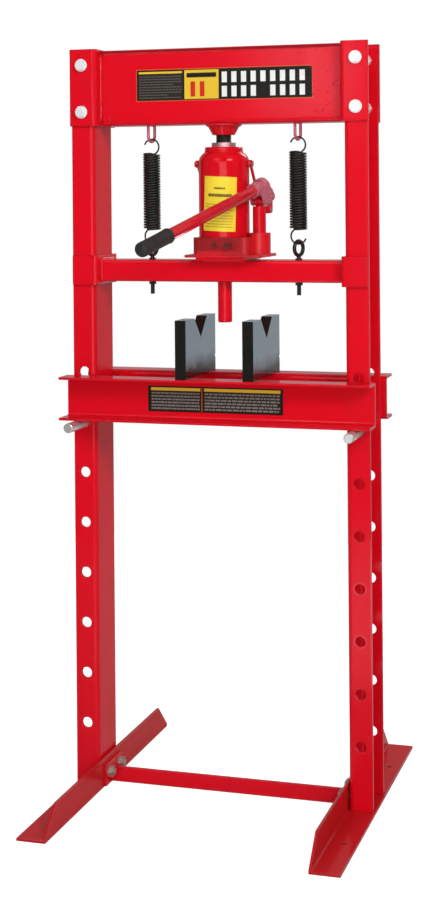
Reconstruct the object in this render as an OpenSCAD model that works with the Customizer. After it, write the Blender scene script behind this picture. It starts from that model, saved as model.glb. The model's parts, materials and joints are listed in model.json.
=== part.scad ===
// Hydraulic shop press: an H frame with a bottle jack on a sprung press bar.
// Millimetres. X runs across the frame, Y runs from front to back, Z is up.
// The origin is on the floor, at the centre of the four floor-bolt holes.

/* [Frame] */
// Height of the head's corner sleeves above the floor
overall_h = 1471.5; // [1420:0.5:1560]
// Clear width between the inner faces of the two uprights
clear_w = 510; // [480:2:540]
// Distance from an upright's inner face to the centre line of its holes
hole_inset = 24.5; // [23:0.5:26]
// Depth of an upright, front flange face to rear flange face
upright_depth = 100; // [96:1:108]
// Width of an upright's flanges
upright_flange = 47; // [44:1:52]
// Plate thickness of the formed uprights
upright_t = 5; // [4.5:0.5:6]
// Outside radius of the formed bends
bend_r = 9; // [8:0.5:11]

/* [Bed pins and holes] */
// Distance from the head's top down to the highest pin hole
hole_drop = 643; // [620:1:660]
// Distance from one pin hole to the next
hole_pitch = 100; // [92:1:110]
// Least height of the lowest pin hole above the floor
hole_low = 110; // [80:5:125]
// Diameter of a pin hole
hole_d = 21; // [20.5:0.1:22]
// Diameter of a bed pin
pin_d = 19; // [18:0.5:19.5]
// Number of free pin holes above the bed
free_hole_count = 1; // [1:1:3]
// Length of a bed pin
pin_len = 240; // [232:2:280]
// How far a pin stands out in front of the uprights
pin_out = 87; // [84:1:110]

/* [Bed] */
// Height of a bed channel
bed_h = 85; // [70:1:95]
// Width of a bed channel's flanges, web face included
bed_flange = 52.5; // [46:0.5:60]
// Plate thickness of a bed channel
bed_t = 5; // [4.5:0.5:6]
// How far the bed runs past the outside of each upright
bed_over = 11; // [6:1:20]

/* [V blocks] */
// Thickness of a V block
vb_t = 22; // [16:1:26]
// Height of a V block
vb_h = 114.5; // [90:0.5:118]
// Length of a V block, front to back
vb_len = 188; // [170:2:196]
// Opening of the V at its top
vb_open = 79; // [60:1:90]
// Clear gap between the two V blocks
vb_gap = 114; // [100:2:130]

/* [Feet and tie bar] */
// Length of a foot, front to back
foot_len = 666; // [560:2:700]
// Height of a foot's upright leg
foot_h = 56; // [50:1:64]
// Width of a foot's floor leg
foot_w = 57.5; // [56:0.5:66]
// Thickness of the foot angle
foot_t = 5; // [4.5:0.5:6]
// Length of the slope at each end of a foot's upright leg
foot_chamfer = 52.5; // [30:0.5:70]
// Distance from a floor-bolt hole to the one behind it
floor_pitch = 400; // [360:10:440]
// Height of the flat tie bar between the feet
tie_h = 30; // [26:1:36]

/* [Head] */
// Height of the head channel
head_h = 151.5; // [130:0.5:160]
// Depth of the head channel, front to back
head_depth = 60; // [56:1:80]
// Plate thickness of the head channel and its corner sleeves
head_t = 5; // [4.5:0.5:6]
// Diameter of the head and sleeve bolts
bolt_d = 12; // [10:1:12]

/* [Press bar] */
// Height of the tube that makes the press bar
bar_h = 43; // [40:1:50]
// Depth of the press bar tube
bar_depth = 64; // [60:1:76]
// Wall of the press bar tube
bar_t = 4; // [3:0.5:5]
// Height of a guide sleeve
sleeve_h = 58; // [52:1:70]
// Diameter of the press ram under the bar
ram_d = 28; // [24:1:34]
// Length of the press ram below the bar
ram_len = 80.5; // [70:0.5:86]

/* [Springs] */
// Outside diameter of a return spring
spring_od = 34; // [32:0.5:36]
// Wire diameter of a return spring
spring_wire = 3.5; // [3:0.1:3.6]
// Distance from one return spring to the other
spring_span = 303; // [290:1:320]

/* [Bottle jack] */
// Diameter of the jack's tank
tank_d = 100; // [92:1:102]
// Height of the jack's base casting above its foot flange
base_h = 34; // [30:1:38]
// Diameter of the jack's ram
jack_ram_d = 48; // [40:1:50]
// Diameter of the extension screw
screw_d = 31; // [26:1:32]
// Distance from the jack's axis to the pump's axis
pump_offset = 72; // [70:0.5:78]
// Outside diameter of the pump tube
pump_d = 26; // [24:1:27]
// Diameter of the pump plunger
plunger_d = 16; // [14:1:16]

/* [Pump lever] */
// Angle the lever hangs below level with the plunger down
lever_drop = 15.4; // [12:0.2:18]
// Angle of the lever's plane, turned from the front towards the left
lever_turn = 16; // [12:1:20]
// Length of the lever from its fulcrum pin to the grip's end
lever_len = 430; // [360:5:480]
// Diameter of the handle tube
handle_d = 22; // [20:0.5:23]
// Diameter of the rubber grip
grip_d = 29; // [27:0.5:32]
// Length of the rubber grip
grip_len = 92; // [80:2:110]

/* [Hidden] */
$fn = 96;
hex_fn = 6;
// running clearances, per side
run_fit = 0.05;
loose_fit = 0.1;
free_gap = 0.35;
slide_gap = 1;

// uprights
in_x = clear_w / 2;
out_x = in_x + upright_flange;
mid_x = in_x + hole_inset;
half_d = upright_depth / 2;

// pin holes, set down from the head so that the bed keeps its distance from the ram
hole_top = overall_h - hole_drop;
hole_count = floor((hole_top - hole_low) / hole_pitch) + 1;

// feet
foot_gap = 2.5;
leg_out_x = in_x - foot_gap;
leg_in_x = leg_out_x - foot_t;
floor_hole_d = 12;
floor_hole_x = leg_in_x + foot_w - 24;
root_r = 2;

// tie bar and its end plates
tie_t = 5;
tie_z = 1.5;
tie_forward = 8;
tie_plate_w = 86;
tie_plate_t = 5;
tie_plate_h = tie_h + 12;
tie_bolt_y = 27;
tie_bolt_z = tie_z + 25.5;
tie_end_x = leg_in_x - tie_plate_t;

// head
sleeve_in_x = in_x - 1.5;
sleeve_x = sleeve_in_x - head_t;
sleeve_head_z = overall_h - head_h - 2;
sleeve_head_h = head_h + 2;
head_z = overall_h - 2 - head_h + 0.5;
head_r = 9;
head_lip = 2;
bolt_edge_low = 28;
bolt_edge_top = 32;
bolt_hole_d = bolt_d + 1;
bolt_flat = bolt_d * 1.5;
bolt_head_t = 6;
bolt_flange_t = 2;
bolt_flange_d = bolt_d * 2 + 1;
nut_flat = bolt_d * 1.58;
nut_t = bolt_d * 0.85;
bolt_tail = 3;
hex_r = 1 / cos(30);

// spring loops under the head
loop_wire = 6;
loop_r = 12;
loop_drop = 35;
loop_turn = 12;

// jack socket under the head and the screw's end in it
socket_flange_r = 33.8;
socket_flange_t = 4.5;
socket_top_r = 31;
socket_end_r = 22;
socket_h = 21;
socket_gap = 1;
socket_bore_r = screw_d / 2 + socket_gap;
socket_depth = 14.7;

// the stack from the head down to the press bar
jack_stack = 267;
bar_top = head_z - jack_stack;
bar_z = bar_top - bar_h;
bar_r = 5;
sleeve_z = bar_z - 6;
guide_in_x = in_x - 1.5;
guide_x = guide_in_x - head_t;
guide_half = half_d + slide_gap;
guide_out_x = out_x - 1.5;
guide_bend_r = 7;
seat_t = 6;
seat_w = 100;
seat_d = 112;
seat_x = 8;

// jack base
base_z = bar_top + seat_t;
base_foot_t = 5;
base_foot_x0 = -67;
base_foot_x1 = 92;
base_foot_d = 116;
base_x0 = -50;
base_x1 = 63;
base_d = 104;
base_corner = 10;
base_top = base_z + base_foot_t + base_h;
boss_r = 22;
boss_top = base_top + 8;
valve_x = 24;
valve_z = base_z + 24;
valve_r = 5;
valve_knob_r = 7;
valve_depth = 14;
valve_out = 9;
plug_x = -4;
plug_r = 6;
plug_out = 3;

// jack tank, cylinder, cap, ram and screw
tank_r = tank_d / 2;
tank_t = 3;
tank_drop = 53;
tank_top = head_z - tank_drop;
shoulder_r = 22;
cyl_r = jack_ram_d / 2 + 7;
cyl_z = base_z + 16;
cap_r = tank_r - 12.5;
cap_t = 8;
cap_top = tank_top + cap_t;
collar_r = cap_r + 1;
ram_bottom = base_top + 4;
ram_top = cap_top + 8.7;
screw_bore_r = screw_d / 2 + loose_fit;
screw_drop = 178;
screw_z = head_z - screw_drop;
screw_bore_z = screw_z - 20;
screw_top = head_z - socket_h + socket_depth - free_gap;
screw_collar = 2;

// carry bail
bail_wire = 6;
bail_eye_t = 5;
bail_eye_r = 7.5;
bail_stud_d = 8;
stud_head_t = 2;
bail_x = tank_r + 4.5;
bail_drop = 78;
bail_z = head_z - bail_drop;
bail_len = 84;
bail_corner = 14;
bail_rest = asin((tank_r + bail_wire / 2 + 0.5) / bail_len);

// pump, fulcrum link and lever, in the lever's own plane
arm = 25;
arm_low = 25.4;
lever_swing = 53.4;
pump_h = 60;
pump_top = base_top + pump_h;
plunger_pin_z = pump_top + 9;
fulcrum_s = -23.54;
fulcrum_z = plunger_pin_z + arm * sin(arm_low);
link_z = pump_top - 7;
link_t = 4;
link_in = 8.2;
link_r = 7;
lug_half = 8;
lug_h = 15;
fulcrum_pin_d = 9;
plunger_pin_d = 8;
link_pin_d = 8;
ear_in = link_in + link_t + 0.4;
ear_t = 4;
ear_r = 8.5;
barrel_rise = 22;
barrel_start = 4;
knob_len = 14;
knob_r = 17.5;
barrel_len = 41;
barrel_r = 14.5;
handle_start = 8;
handle_wall = 2.5;
eye_half = 6;
eye_r = 8;
eye_neck = plunger_d - 6;
eye_shift = 1.5;
slot_r = plunger_pin_d / 2 + 0.55;
plunger_z = base_top - 20;
pump_z = base_z + 12;
plunger_floor = plunger_z - 8;

// springs
hook_gap = 0.2;
coil_r = (spring_od - spring_wire) / 2;
ring_wire = 7.5;
ring_r = 14;
ring_neck = 5;
ring_turn = 22;
ring_z = bar_top + ring_neck + ring_r + ring_wire / 2;
rod_d = 8;
rod_below = 26;
rod_nut_flat = 13;
rod_nut_t = 6.5;
hook_top_z = head_z - loop_drop + loop_wire + spring_wire / 2 + hook_gap - coil_r;
hook_low_z = ring_z + ring_r - ring_wire / 2 - spring_wire / 2 - hook_gap + coil_r;
hook_reach = 0.9 * coil_r;
coil_top = hook_top_z - hook_reach;
coil_low = hook_low_z + hook_reach;
coil_steps = 12;
coil_turns = 40;
wire_steps = 6;
hook_steps = 11;
turn_in_steps = 4;

// bed
bed_pin_z = hole_top - free_hole_count * hole_pitch;
pin_rest_z = bed_pin_z - (hole_d - pin_d) / 2 + free_gap;
bed_z = pin_rest_z + pin_d / 2 + free_gap;
bed_gap = 0.5;
bed_back = half_d + bed_gap;
bed_half_x = out_x + bed_over;
bed_top = bed_z + bed_h;
spacer_t = 6;
spacer_h = bed_h - 20;
spacer_x = in_x - 10;
vb_shift = 6;
vb_notch = 8;
vb_notch_z = 30;
pin_chamfer = 1.5;

frame_red = [0.80, 0.06, 0.09];
dark_red = [0.70, 0.05, 0.08];
zinc = [0.78, 0.80, 0.82];
steel = [0.62, 0.64, 0.66];
black_steel = [0.06, 0.06, 0.06];
block_grey = [0.25, 0.26, 0.28];
rubber = [0.12, 0.11, 0.11];

// ---- shared shapes ----

// a flat profile drawn in (y, z), run along X and centred
module along_x(len) {
    rotate([90, 0, 90])
        linear_extrude(height = len, center = true)
            children();
}

// a flat profile drawn in (x, z), run along Y and centred
module along_y(len) {
    rotate([90, 0, 0])
        linear_extrude(height = len, center = true)
            children();
}

// solid blank of a formed channel: its two bent corners are round
module channel_blank(width, reach, r) {
    translate([r, -width / 2])
        square([reach - r, width]);
    translate([0, r - width / 2])
        square([reach, width - 2 * r]);
    for (s = [-1, 1])
        translate([r, s * (width / 2 - r)])
            circle(r = r);
}

// formed channel: the web starts at 0, the flanges reach along the first axis
module channel(width, reach, t, r) {
    difference() {
        channel_blank(width, reach, r);
        translate([t, 0])
            channel_blank(width - 2 * t, reach, r - t);
    }
}

// rectangle with round corners
module round_rect(w, h, r) {
    square([w, h - 2 * r], center = true);
    square([w - 2 * r, h], center = true);
    for (i = [-1, 1], j = [-1, 1])
        translate([i * (w / 2 - r), j * (h / 2 - r)])
            circle(r = r);
}

// bar with round ends, between two points of the plane
module link_shape(a, b, r) {
    run = norm(b - a);
    translate(a)
        rotate(atan2(b[1] - a[1], b[0] - a[0])) {
            circle(r = r);
            translate([0, -r])
                square([run, 2 * r]);
            translate([run, 0])
                circle(r = r);
        }
}

// flanged hex bolt along -Y: the head's face touches y = 0 and the shank runs back to y = grip
module flange_bolt(grip) {
    rotate([90, 0, 0]) {
        cylinder(r = bolt_flange_d / 2, h = bolt_flange_t);
        cylinder(r = bolt_flat / 2 * hex_r, h = bolt_flange_t + bolt_head_t, $fn = hex_fn);
        translate([0, 0, -grip])
            cylinder(r = bolt_d / 2, h = grip + bolt_flange_t);
    }
}

// hex nut round a shank of diameter d, from y = 0 towards +Y
module nut(d, flat, t) {
    rotate([-90, 0, 0])
        difference() {
            cylinder(r = flat / 2 * hex_r, h = t, $fn = hex_fn);
            translate([0, 0, -1])
                cylinder(r = d / 2, h = t + 2);
        }
}

// ---- frame ----

module upright(side) {
    color(frame_red)
        mirror([side < 0 ? 1 : 0, 0, 0])
            difference() {
                translate([in_x, 0, foot_t])
                    linear_extrude(height = overall_h - foot_t - 3)
                        channel(upright_depth, upright_flange, upright_t, bend_r);
                for (i = [0 : hole_count - 1])
                    translate([mid_x, 0, hole_top - i * hole_pitch])
                        rotate([90, 0, 0])
                            cylinder(r = hole_d / 2, h = upright_depth + 2, center = true);
                for (z = head_bolt_heights())
                    translate([mid_x, 0, z])
                        rotate([90, 0, 0])
                            cylinder(r = bolt_hole_d / 2, h = upright_depth + 2, center = true);
                for (s = [-1, 1])
                    translate([in_x - 1, s * tie_bolt_y, tie_bolt_z])
                        rotate([0, 90, 0])
                            cylinder(r = bolt_hole_d / 2, h = upright_t + 2);
            }
}

function head_bolt_heights() = [
    sleeve_head_z + bolt_edge_low,
    sleeve_head_z + sleeve_head_h - bolt_edge_top,
];

module foot(side) {
    half = foot_len / 2;
    color(frame_red)
        mirror([side < 0 ? 1 : 0, 0, 0])
            difference() {
                along_y(foot_len)
                    difference() {
                        union() {
                            translate([leg_in_x, 0])
                                square([foot_t, foot_h]);
                            translate([leg_in_x, 0])
                                square([foot_w, foot_t]);
                            translate([leg_out_x, foot_t])
                                square([root_r, root_r]);
                        }
                        translate([leg_out_x + root_r, foot_t + root_r])
                            circle(r = root_r);
                    }
                for (s = [-1, 1])
                    translate([leg_in_x - 1, 0, 0])
                        rotate([90, 0, 90])
                            linear_extrude(height = foot_t + root_r + 2)
                                polygon([
                                    [s * (half + 1), foot_t + 1],
                                    [s * half, foot_t + 1],
                                    [s * (half - foot_chamfer), foot_h],
                                    [s * (half - foot_chamfer), foot_h + 1],
                                    [s * (half + 1), foot_h + 1],
                                ]);
                for (s = [-1, 1])
                    translate([floor_hole_x, s * floor_pitch / 2, -1])
                        cylinder(r = floor_hole_d / 2, h = foot_t + 2);
                for (s = [-1, 1])
                    translate([leg_in_x - 1, s * tie_bolt_y, tie_bolt_z])
                        rotate([0, 90, 0])
                            cylinder(r = bolt_hole_d / 2, h = foot_t + 2);
            }
}

module tie_bar() {
    color(frame_red) {
        translate([-tie_end_x, -tie_forward - tie_t / 2, tie_z])
            cube([2 * tie_end_x, tie_t, tie_h]);
        for (s = [-1, 1])
            difference() {
                translate([s * (tie_end_x + tie_plate_t / 2), 0, tie_z + tie_plate_h / 2])
                    cube([tie_plate_t, tie_plate_w, tie_plate_h], center = true);
                for (j = [-1, 1])
                    translate([s * (tie_end_x + tie_plate_t / 2), j * tie_bolt_y, tie_bolt_z])
                        rotate([0, 90, 0])
                            cylinder(r = bolt_hole_d / 2, h = tie_plate_t + 2, center = true);
            }
    }
}

module foot_bolt_places() {
    for (s = [-1, 1], j = [-1, 1])
        mirror([s < 0 ? 1 : 0, 0, 0])
            translate([0, j * tie_bolt_y, tie_bolt_z])
                children();
}

module foot_bolts() {
    shank = upright_t + foot_gap + foot_t + tie_plate_t + nut_t + bolt_tail;
    color(zinc)
        foot_bolt_places()
            translate([in_x + upright_t, 0, 0])
                rotate([0, 0, 90])
                    flange_bolt(shank);
}

module foot_nuts() {
    color(zinc)
        foot_bolt_places()
            translate([tie_end_x, 0, 0])
                rotate([0, 0, 90])
                    nut(bolt_d, nut_flat, nut_t);
}

// ---- head ----

// folded sleeve round an upright: front plate, inner side and rear plate in one piece
module folded_sleeve(x, t, half, reach, h, r) {
    translate([x, 0, 0])
        linear_extrude(height = h)
            channel(2 * half + 2 * t, reach, t, r);
}

module head_sleeve(side) {
    color(frame_red)
        mirror([side < 0 ? 1 : 0, 0, 0])
            difference() {
                translate([0, 0, sleeve_head_z])
                    folded_sleeve(
                        sleeve_x, head_t, half_d, out_x + head_lip - sleeve_x, sleeve_head_h, bend_r
                    );
                for (z = head_bolt_heights())
                    translate([mid_x, 0, z])
                        rotate([90, 0, 0])
                            cylinder(
                                r = bolt_hole_d / 2, h = upright_depth + 2 * head_t + 2, center = true
                            );
            }
}

// one formed channel, web to the front, flanges running back
module head_channel() {
    color(frame_red)
        translate([0, -head_depth / 2, head_z + head_h / 2])
            along_x(2 * sleeve_x)
                channel(head_h, head_depth, head_t, head_r);
}

module head_bolt_places() {
    for (s = [-1, 1], j = [0, 180], z = head_bolt_heights())
        translate([s * mid_x, 0, z])
            rotate([0, 0, j])
                translate([0, -half_d - head_t, 0])
                    children();
}

module head_bolts() {
    color(zinc)
        head_bolt_places()
            flange_bolt(head_t + upright_t + nut_t + bolt_tail);
}

module head_nuts() {
    color(zinc)
        head_bolt_places()
            translate([0, head_t + upright_t, 0])
                nut(bolt_d, nut_flat, nut_t);
}

module jack_socket() {
    color(frame_red)
        translate([0, 0, head_z - socket_h])
            difference() {
                union() {
                    cylinder(r1 = socket_end_r, r2 = socket_top_r, h = socket_h - socket_flange_t);
                    translate([0, 0, socket_h - socket_flange_t])
                        cylinder(r = socket_flange_r, h = socket_flange_t);
                }
                translate([0, 0, -1])
                    cylinder(r = socket_bore_r, h = socket_depth + 1);
            }
}

// bent round bar, its two legs welded to the head and the spring's hook through it
module spring_loops() {
    leg = loop_drop - loop_r - loop_wire / 2;
    color(dark_red)
        for (s = [-1, 1])
            translate([s * spring_span / 2, 0, head_z - leg])
                rotate([0, 0, -loop_turn]) {
                    for (j = [-1, 1])
                        translate([0, j * loop_r, 0])
                            cylinder(r = loop_wire / 2, h = leg);
                    rotate([0, 90, 0])
                        rotate([0, 0, -90])
                            rotate_extrude(angle = 180)
                                translate([loop_r, 0])
                                    circle(r = loop_wire / 2);
                }
}

// ---- press bar ----

module press_bar() {
    color(frame_red)
        difference() {
            translate([0, 0, bar_z + bar_h / 2])
                along_x(2 * guide_x)
                    difference() {
                        round_rect(bar_depth, bar_h, bar_r);
                        round_rect(bar_depth - 2 * bar_t, bar_h - 2 * bar_t, bar_r - bar_t + 0.5);
                    }
            for (s = [-1, 1])
                translate([s * spring_span / 2, 0, bar_z - 1])
                    cylinder(r = rod_d / 2 + 0.5, h = bar_h + 2);
        }
}

module guide_sleeve(side) {
    color(frame_red)
        mirror([side < 0 ? 1 : 0, 0, 0])
            translate([0, 0, sleeve_z])
                folded_sleeve(
                    guide_x, head_t, guide_half, guide_out_x - guide_x, sleeve_h, guide_bend_r
                );
}

module jack_seat() {
    color(frame_red)
        translate([seat_x - seat_w / 2, -seat_d / 2, bar_top])
            cube([seat_w, seat_d, seat_t]);
}

module press_ram() {
    chamfer = 1.5;
    color(frame_red)
        translate([0, 0, bar_z - ram_len]) {
            cylinder(r1 = ram_d / 2 - chamfer, r2 = ram_d / 2, h = chamfer);
            translate([0, 0, chamfer])
                cylinder(r = ram_d / 2, h = ram_len - chamfer);
        }
}

module eyebolts() {
    collar_h = 3;
    color(black_steel)
        for (s = [-1, 1])
            translate([s * spring_span / 2, 0, 0]) {
                translate([0, 0, bar_z - rod_below])
                    cylinder(r = rod_d / 2, h = bar_h + rod_below + ring_neck + ring_wire / 2);
                translate([0, 0, bar_top])
                    cylinder(r = rod_d * 0.85, h = collar_h);
                translate([0, 0, ring_z])
                    rotate([0, 90, -ring_turn])
                        rotate_extrude()
                            translate([ring_r, 0])
                                circle(r = ring_wire / 2);
            }
}

module eyebolt_nuts() {
    color(black_steel)
        for (s = [-1, 1])
            translate([s * spring_span / 2, 0, bar_z])
                rotate([-90, 0, 0])
                    nut(rod_d, rod_nut_flat, rod_nut_t);
}

// ---- return springs ----

function unit(v) = v / norm(v);
function mix(a, b, t) = a * (1 - t) + b * t;
function bezier(a, b, c, d, t) =
    pow(1 - t, 3) * a + 3 * pow(1 - t, 2) * t * b + 3 * (1 - t) * t * t * c + pow(t, 3) * d;

hook_from = -48;
hook_to = 162;
lead = coil_r * 0.66;
coil_rise = coil_top - coil_low;
coil_points = coil_turns * coil_steps;
hook_start = [coil_r * cos(hook_from), 0, hook_top_z + coil_r * sin(hook_from)];
hook_aim = [-sin(hook_from), 0, cos(hook_from)];

// wire centres and outward directions: upper hook, in spring coordinates
function hook_path() = [
    for (i = [1 : hook_steps])
        let (a = hook_from + (hook_to - hook_from) * i / hook_steps)
            [[coil_r * cos(a), 0, hook_top_z + coil_r * sin(a)], [cos(a), 0, sin(a)]]
];
function turn_in_path() = [
    for (i = [1 : turn_in_steps])
        let (
            t = i / turn_in_steps,
            p0 = [0, -coil_r, coil_top],
            p = bezier(p0, p0 + [lead, 0, 0], hook_start - lead * hook_aim, hook_start, t)
        )
            [p, unit(mix([0, -1, 0], [cos(hook_from), 0, sin(hook_from)], t))]
];
function coil_path() = [
    for (i = [0 : coil_points])
        let (a = -90 + 360 * (i - coil_points) / coil_steps, f = i / coil_points)
            [[coil_r * cos(a), coil_r * sin(a), mix(coil_low, coil_top, f)], [cos(a), sin(a), 0]]
];
// the lower hook is the upper one turned half a turn about the Y axis
function flip(p) = [-p[0], p[1], hook_top_z + hook_low_z - p[2]];
function flip_dir(d) = [-d[0], d[1], -d[2]];
function lower_path() =
    let (up = concat(turn_in_path(), hook_path()), n = len(up))
        [for (i = [n - 1 : -1 : 0]) [flip(up[i][0]), flip_dir(up[i][1])]];

module wire(path) {
    n = len(path);
    rings = [
        for (i = [0 : n - 1])
            let (
                here = path[i][0],
                along = unit(path[min(i + 1, n - 1)][0] - path[max(i - 1, 0)][0]),
                out = unit(path[i][1] - (path[i][1] * along) * along),
                across = cross(along, out)
            )
                for (k = [0 : wire_steps - 1])
                    let (a = 360 * k / wire_steps)
                        here + spring_wire / 2 * (cos(a) * out + sin(a) * across)
    ];
    sides = [
        for (i = [0 : n - 2], k = [0 : wire_steps - 1])
            let (a = i * wire_steps + k, b = i * wire_steps + (k + 1) % wire_steps)
                [a + wire_steps, b + wire_steps, b, a]
    ];
    first = [[for (k = [0 : wire_steps - 1]) k]];
    last = [[for (k = [wire_steps - 1 : -1 : 0]) (n - 1) * wire_steps + k]];
    polyhedron(points = rings, faces = concat(first, sides, last), convexity = 10);
}

module spring(side) {
    color(black_steel)
        translate([side * spring_span / 2, 0, 0])
            wire(concat(lower_path(), coil_path(), turn_in_path(), hook_path()));
}

// ---- bottle jack ----

module jack_base() {
    foot_w_jack = base_foot_x1 - base_foot_x0;
    body_w = base_x1 - base_x0;
    color(dark_red)
        difference() {
            union() {
                translate([(base_foot_x0 + base_foot_x1) / 2, 0, base_z])
                    linear_extrude(height = base_foot_t)
                        round_rect(foot_w_jack, base_foot_d, base_corner);
                translate([(base_x0 + base_x1) / 2, 0, base_z])
                    linear_extrude(height = base_foot_t + base_h)
                        round_rect(body_w, base_d, base_corner);
                translate([pump_offset, 0, base_z])
                    cylinder(r = boss_r, h = boss_top - base_z);
            }
            translate([0, 0, cyl_z])
                cylinder(r = cyl_r, h = base_h * 2);
            translate([0, 0, base_top])
                cylinder(r = tank_r, h = base_h);
            translate([pump_offset, 0, pump_z])
                cylinder(r = pump_d / 2, h = base_h * 2);
            translate([valve_x, valve_depth - base_d / 2, valve_z])
                rotate([90, 0, 0])
                    cylinder(r = valve_r + loose_fit, h = valve_depth + 1);
            translate([plug_x, valve_depth - base_d / 2, valve_z])
                rotate([90, 0, 0])
                    cylinder(r = plug_r, h = valve_depth + 1);
        }
}

module jack_plug() {
    hex_flat = 6;
    color(steel)
        translate([plug_x, valve_depth - base_d / 2, valve_z])
            rotate([90, 0, 0])
                difference() {
                    cylinder(r = plug_r, h = valve_depth + plug_out);
                    translate([0, 0, valve_depth])
                        cylinder(r = hex_flat / 2 * hex_r, h = plug_out + 1, $fn = hex_fn);
                }
}

// turned outline of the tank, drawn in (radius, height)
module tank_outline(r, round, top) {
    square([r, top - shoulder_r - base_top]);
    translate([r - round, top - shoulder_r - base_top])
        circle(r = round);
    square([r - round, top - shoulder_r + round - base_top]);
}

module jack_tank() {
    color(frame_red)
        translate([0, 0, base_top])
            rotate_extrude()
                difference() {
                    union() {
                        tank_outline(tank_r, shoulder_r, tank_top);
                        square([collar_r, tank_top - base_top]);
                    }
                    translate([0, -tank_t])
                        tank_outline(tank_r - tank_t, shoulder_r - tank_t, tank_top);
                    translate([0, -1])
                        square([cyl_r, tank_top]);
                }
}

module jack_cylinder() {
    color(steel)
        translate([0, 0, cyl_z])
            difference() {
                cylinder(r = cyl_r, h = tank_top - cyl_z);
                translate([0, 0, 8])
                    cylinder(r = jack_ram_d / 2 + run_fit, h = tank_top);
            }
}

module jack_cap() {
    edge = 1.5;
    color(frame_red)
        translate([0, 0, tank_top])
            difference() {
                union() {
                    cylinder(r = cap_r, h = cap_t - edge);
                    translate([0, 0, cap_t - edge])
                        cylinder(r1 = cap_r, r2 = cap_r - edge, h = edge);
                }
                translate([0, 0, -1])
                    cylinder(r = jack_ram_d / 2 + run_fit, h = cap_t + 2);
            }
}

module jack_ram() {
    color(steel)
        translate([0, 0, ram_bottom])
            difference() {
                cylinder(r = jack_ram_d / 2, h = ram_top - ram_bottom);
                translate([0, 0, screw_bore_z - ram_bottom])
                    cylinder(r = screw_bore_r, h = ram_top);
            }
}

module extension_screw() {
    color(black_steel)
        translate([0, 0, screw_z]) {
            cylinder(r = screw_d / 2, h = screw_top - screw_z - screw_collar);
            translate([0, 0, screw_top - screw_z - screw_collar])
                cylinder(r1 = screw_d / 2, r2 = screw_d / 2 - screw_collar, h = screw_collar);
        }
}

module release_valve() {
    slot_w = 2.5;
    color(steel)
        translate([valve_x, valve_depth - base_d / 2 - 1, valve_z])
            rotate([90, 0, 0])
                difference() {
                    union() {
                        cylinder(r = valve_r, h = valve_depth + valve_out - 1);
                        translate([0, 0, valve_depth])
                            cylinder(r = valve_knob_r, h = valve_out - 1);
                    }
                    translate([-valve_r * 2, -slot_w / 2, valve_depth + valve_out - 4])
                        cube([valve_r * 4, slot_w, 4]);
                }
}

// ---- carry bail ----

module bail_studs() {
    stud_end = bail_x + max(bail_eye_t, bail_wire) / 2 + free_gap;
    color(steel)
        difference() {
            for (s = [-1, 1])
                rotate([0, s * 90, 0]) {
                    translate([-s * bail_z, 0, tank_r / 2])
                        cylinder(r = bail_stud_d / 2, h = stud_end - tank_r / 2);
                    translate([-s * bail_z, 0, stud_end])
                        cylinder(r = bail_stud_d / 2 + 2, h = stud_head_t);
                }
            translate([0, 0, bail_z - bail_stud_d])
                cylinder(r = tank_r, h = 2 * bail_stud_d);
        }
}

// round-bar carry handle hanging behind the tank from its two side studs
module carry_bail() {
    straight = bail_len - bail_corner;
    color(dark_red)
        translate([0, 0, bail_z])
            rotate([bail_rest, 0, 0]) {
                for (s = [-1, 1]) {
                    translate([s * bail_x, 0, 0])
                        rotate([0, 90, 0])
                            difference() {
                                cylinder(r = bail_eye_r, h = bail_eye_t, center = true);
                                cylinder(
                                    r = bail_stud_d / 2 + loose_fit, h = bail_eye_t + 2, center = true
                                );
                            }
                    translate([s * bail_x, 0, -straight])
                        cylinder(r = bail_wire / 2, h = straight - bail_eye_r + 1.5);
                    translate([s * (bail_x - bail_corner), 0, -straight])
                        rotate([90, 0, 0])
                            rotate([0, 0, s < 0 ? 180 : 270])
                                rotate_extrude(angle = 90)
                                    translate([bail_corner, 0])
                                        circle(r = bail_wire / 2);
                }
                translate([0, 0, -bail_len])
                    rotate([0, 90, 0])
                        cylinder(r = bail_wire / 2, h = 2 * (bail_x - bail_corner), center = true);
            }
}

// ---- pump and lever ----

// places children drawn in the lever's plane: first axis towards the grip, second axis up
module lever_plane() {
    translate([pump_offset, 0, 0])
        rotate([0, 0, 270 - lever_turn])
            rotate([90, 0, 0])
                children();
}

module lever_frame() {
    lever_plane()
        translate([fulcrum_s, fulcrum_z, 0])
            rotate([0, 0, -lever_drop])
                children();
}

module plate(from, t) {
    translate([0, 0, from])
        linear_extrude(height = t)
            children();
}

module pump_body() {
    color(frame_red)
        difference() {
            union() {
                translate([pump_offset, 0, pump_z])
                    cylinder(r = pump_d / 2, h = pump_top - pump_z);
                lever_plane()
                    plate(-lug_half, 2 * lug_half)
                        difference() {
                            union() {
                                translate([fulcrum_s, link_z - lug_h / 2])
                                    square([-fulcrum_s, lug_h]);
                                translate([fulcrum_s, link_z])
                                    circle(r = lug_h / 2);
                            }
                            translate([fulcrum_s, link_z])
                                circle(r = link_pin_d / 2);
                        }
            }
            translate([pump_offset, 0, plunger_floor])
                cylinder(r = plunger_d / 2 + run_fit, h = pump_top - plunger_floor + lug_h);
        }
}

module fulcrum_links() {
    color(dark_red)
        lever_plane()
            for (z = [link_in, -link_in - link_t])
                plate(z, link_t)
                    difference() {
                        link_shape([fulcrum_s, link_z], [fulcrum_s, fulcrum_z], link_r);
                        translate([fulcrum_s, link_z])
                            circle(r = link_pin_d / 2);
                        translate([fulcrum_s, fulcrum_z])
                            circle(r = fulcrum_pin_d / 2 + run_fit);
                    }
}

module cross_pin(at, d, half) {
    translate([at[0], at[1], 0])
        cylinder(r = d / 2, h = 2 * half, center = true);
}

module link_pin() {
    color(zinc)
        lever_plane()
            cross_pin([fulcrum_s, link_z], link_pin_d, link_in + link_t + 1.5);
}

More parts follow.
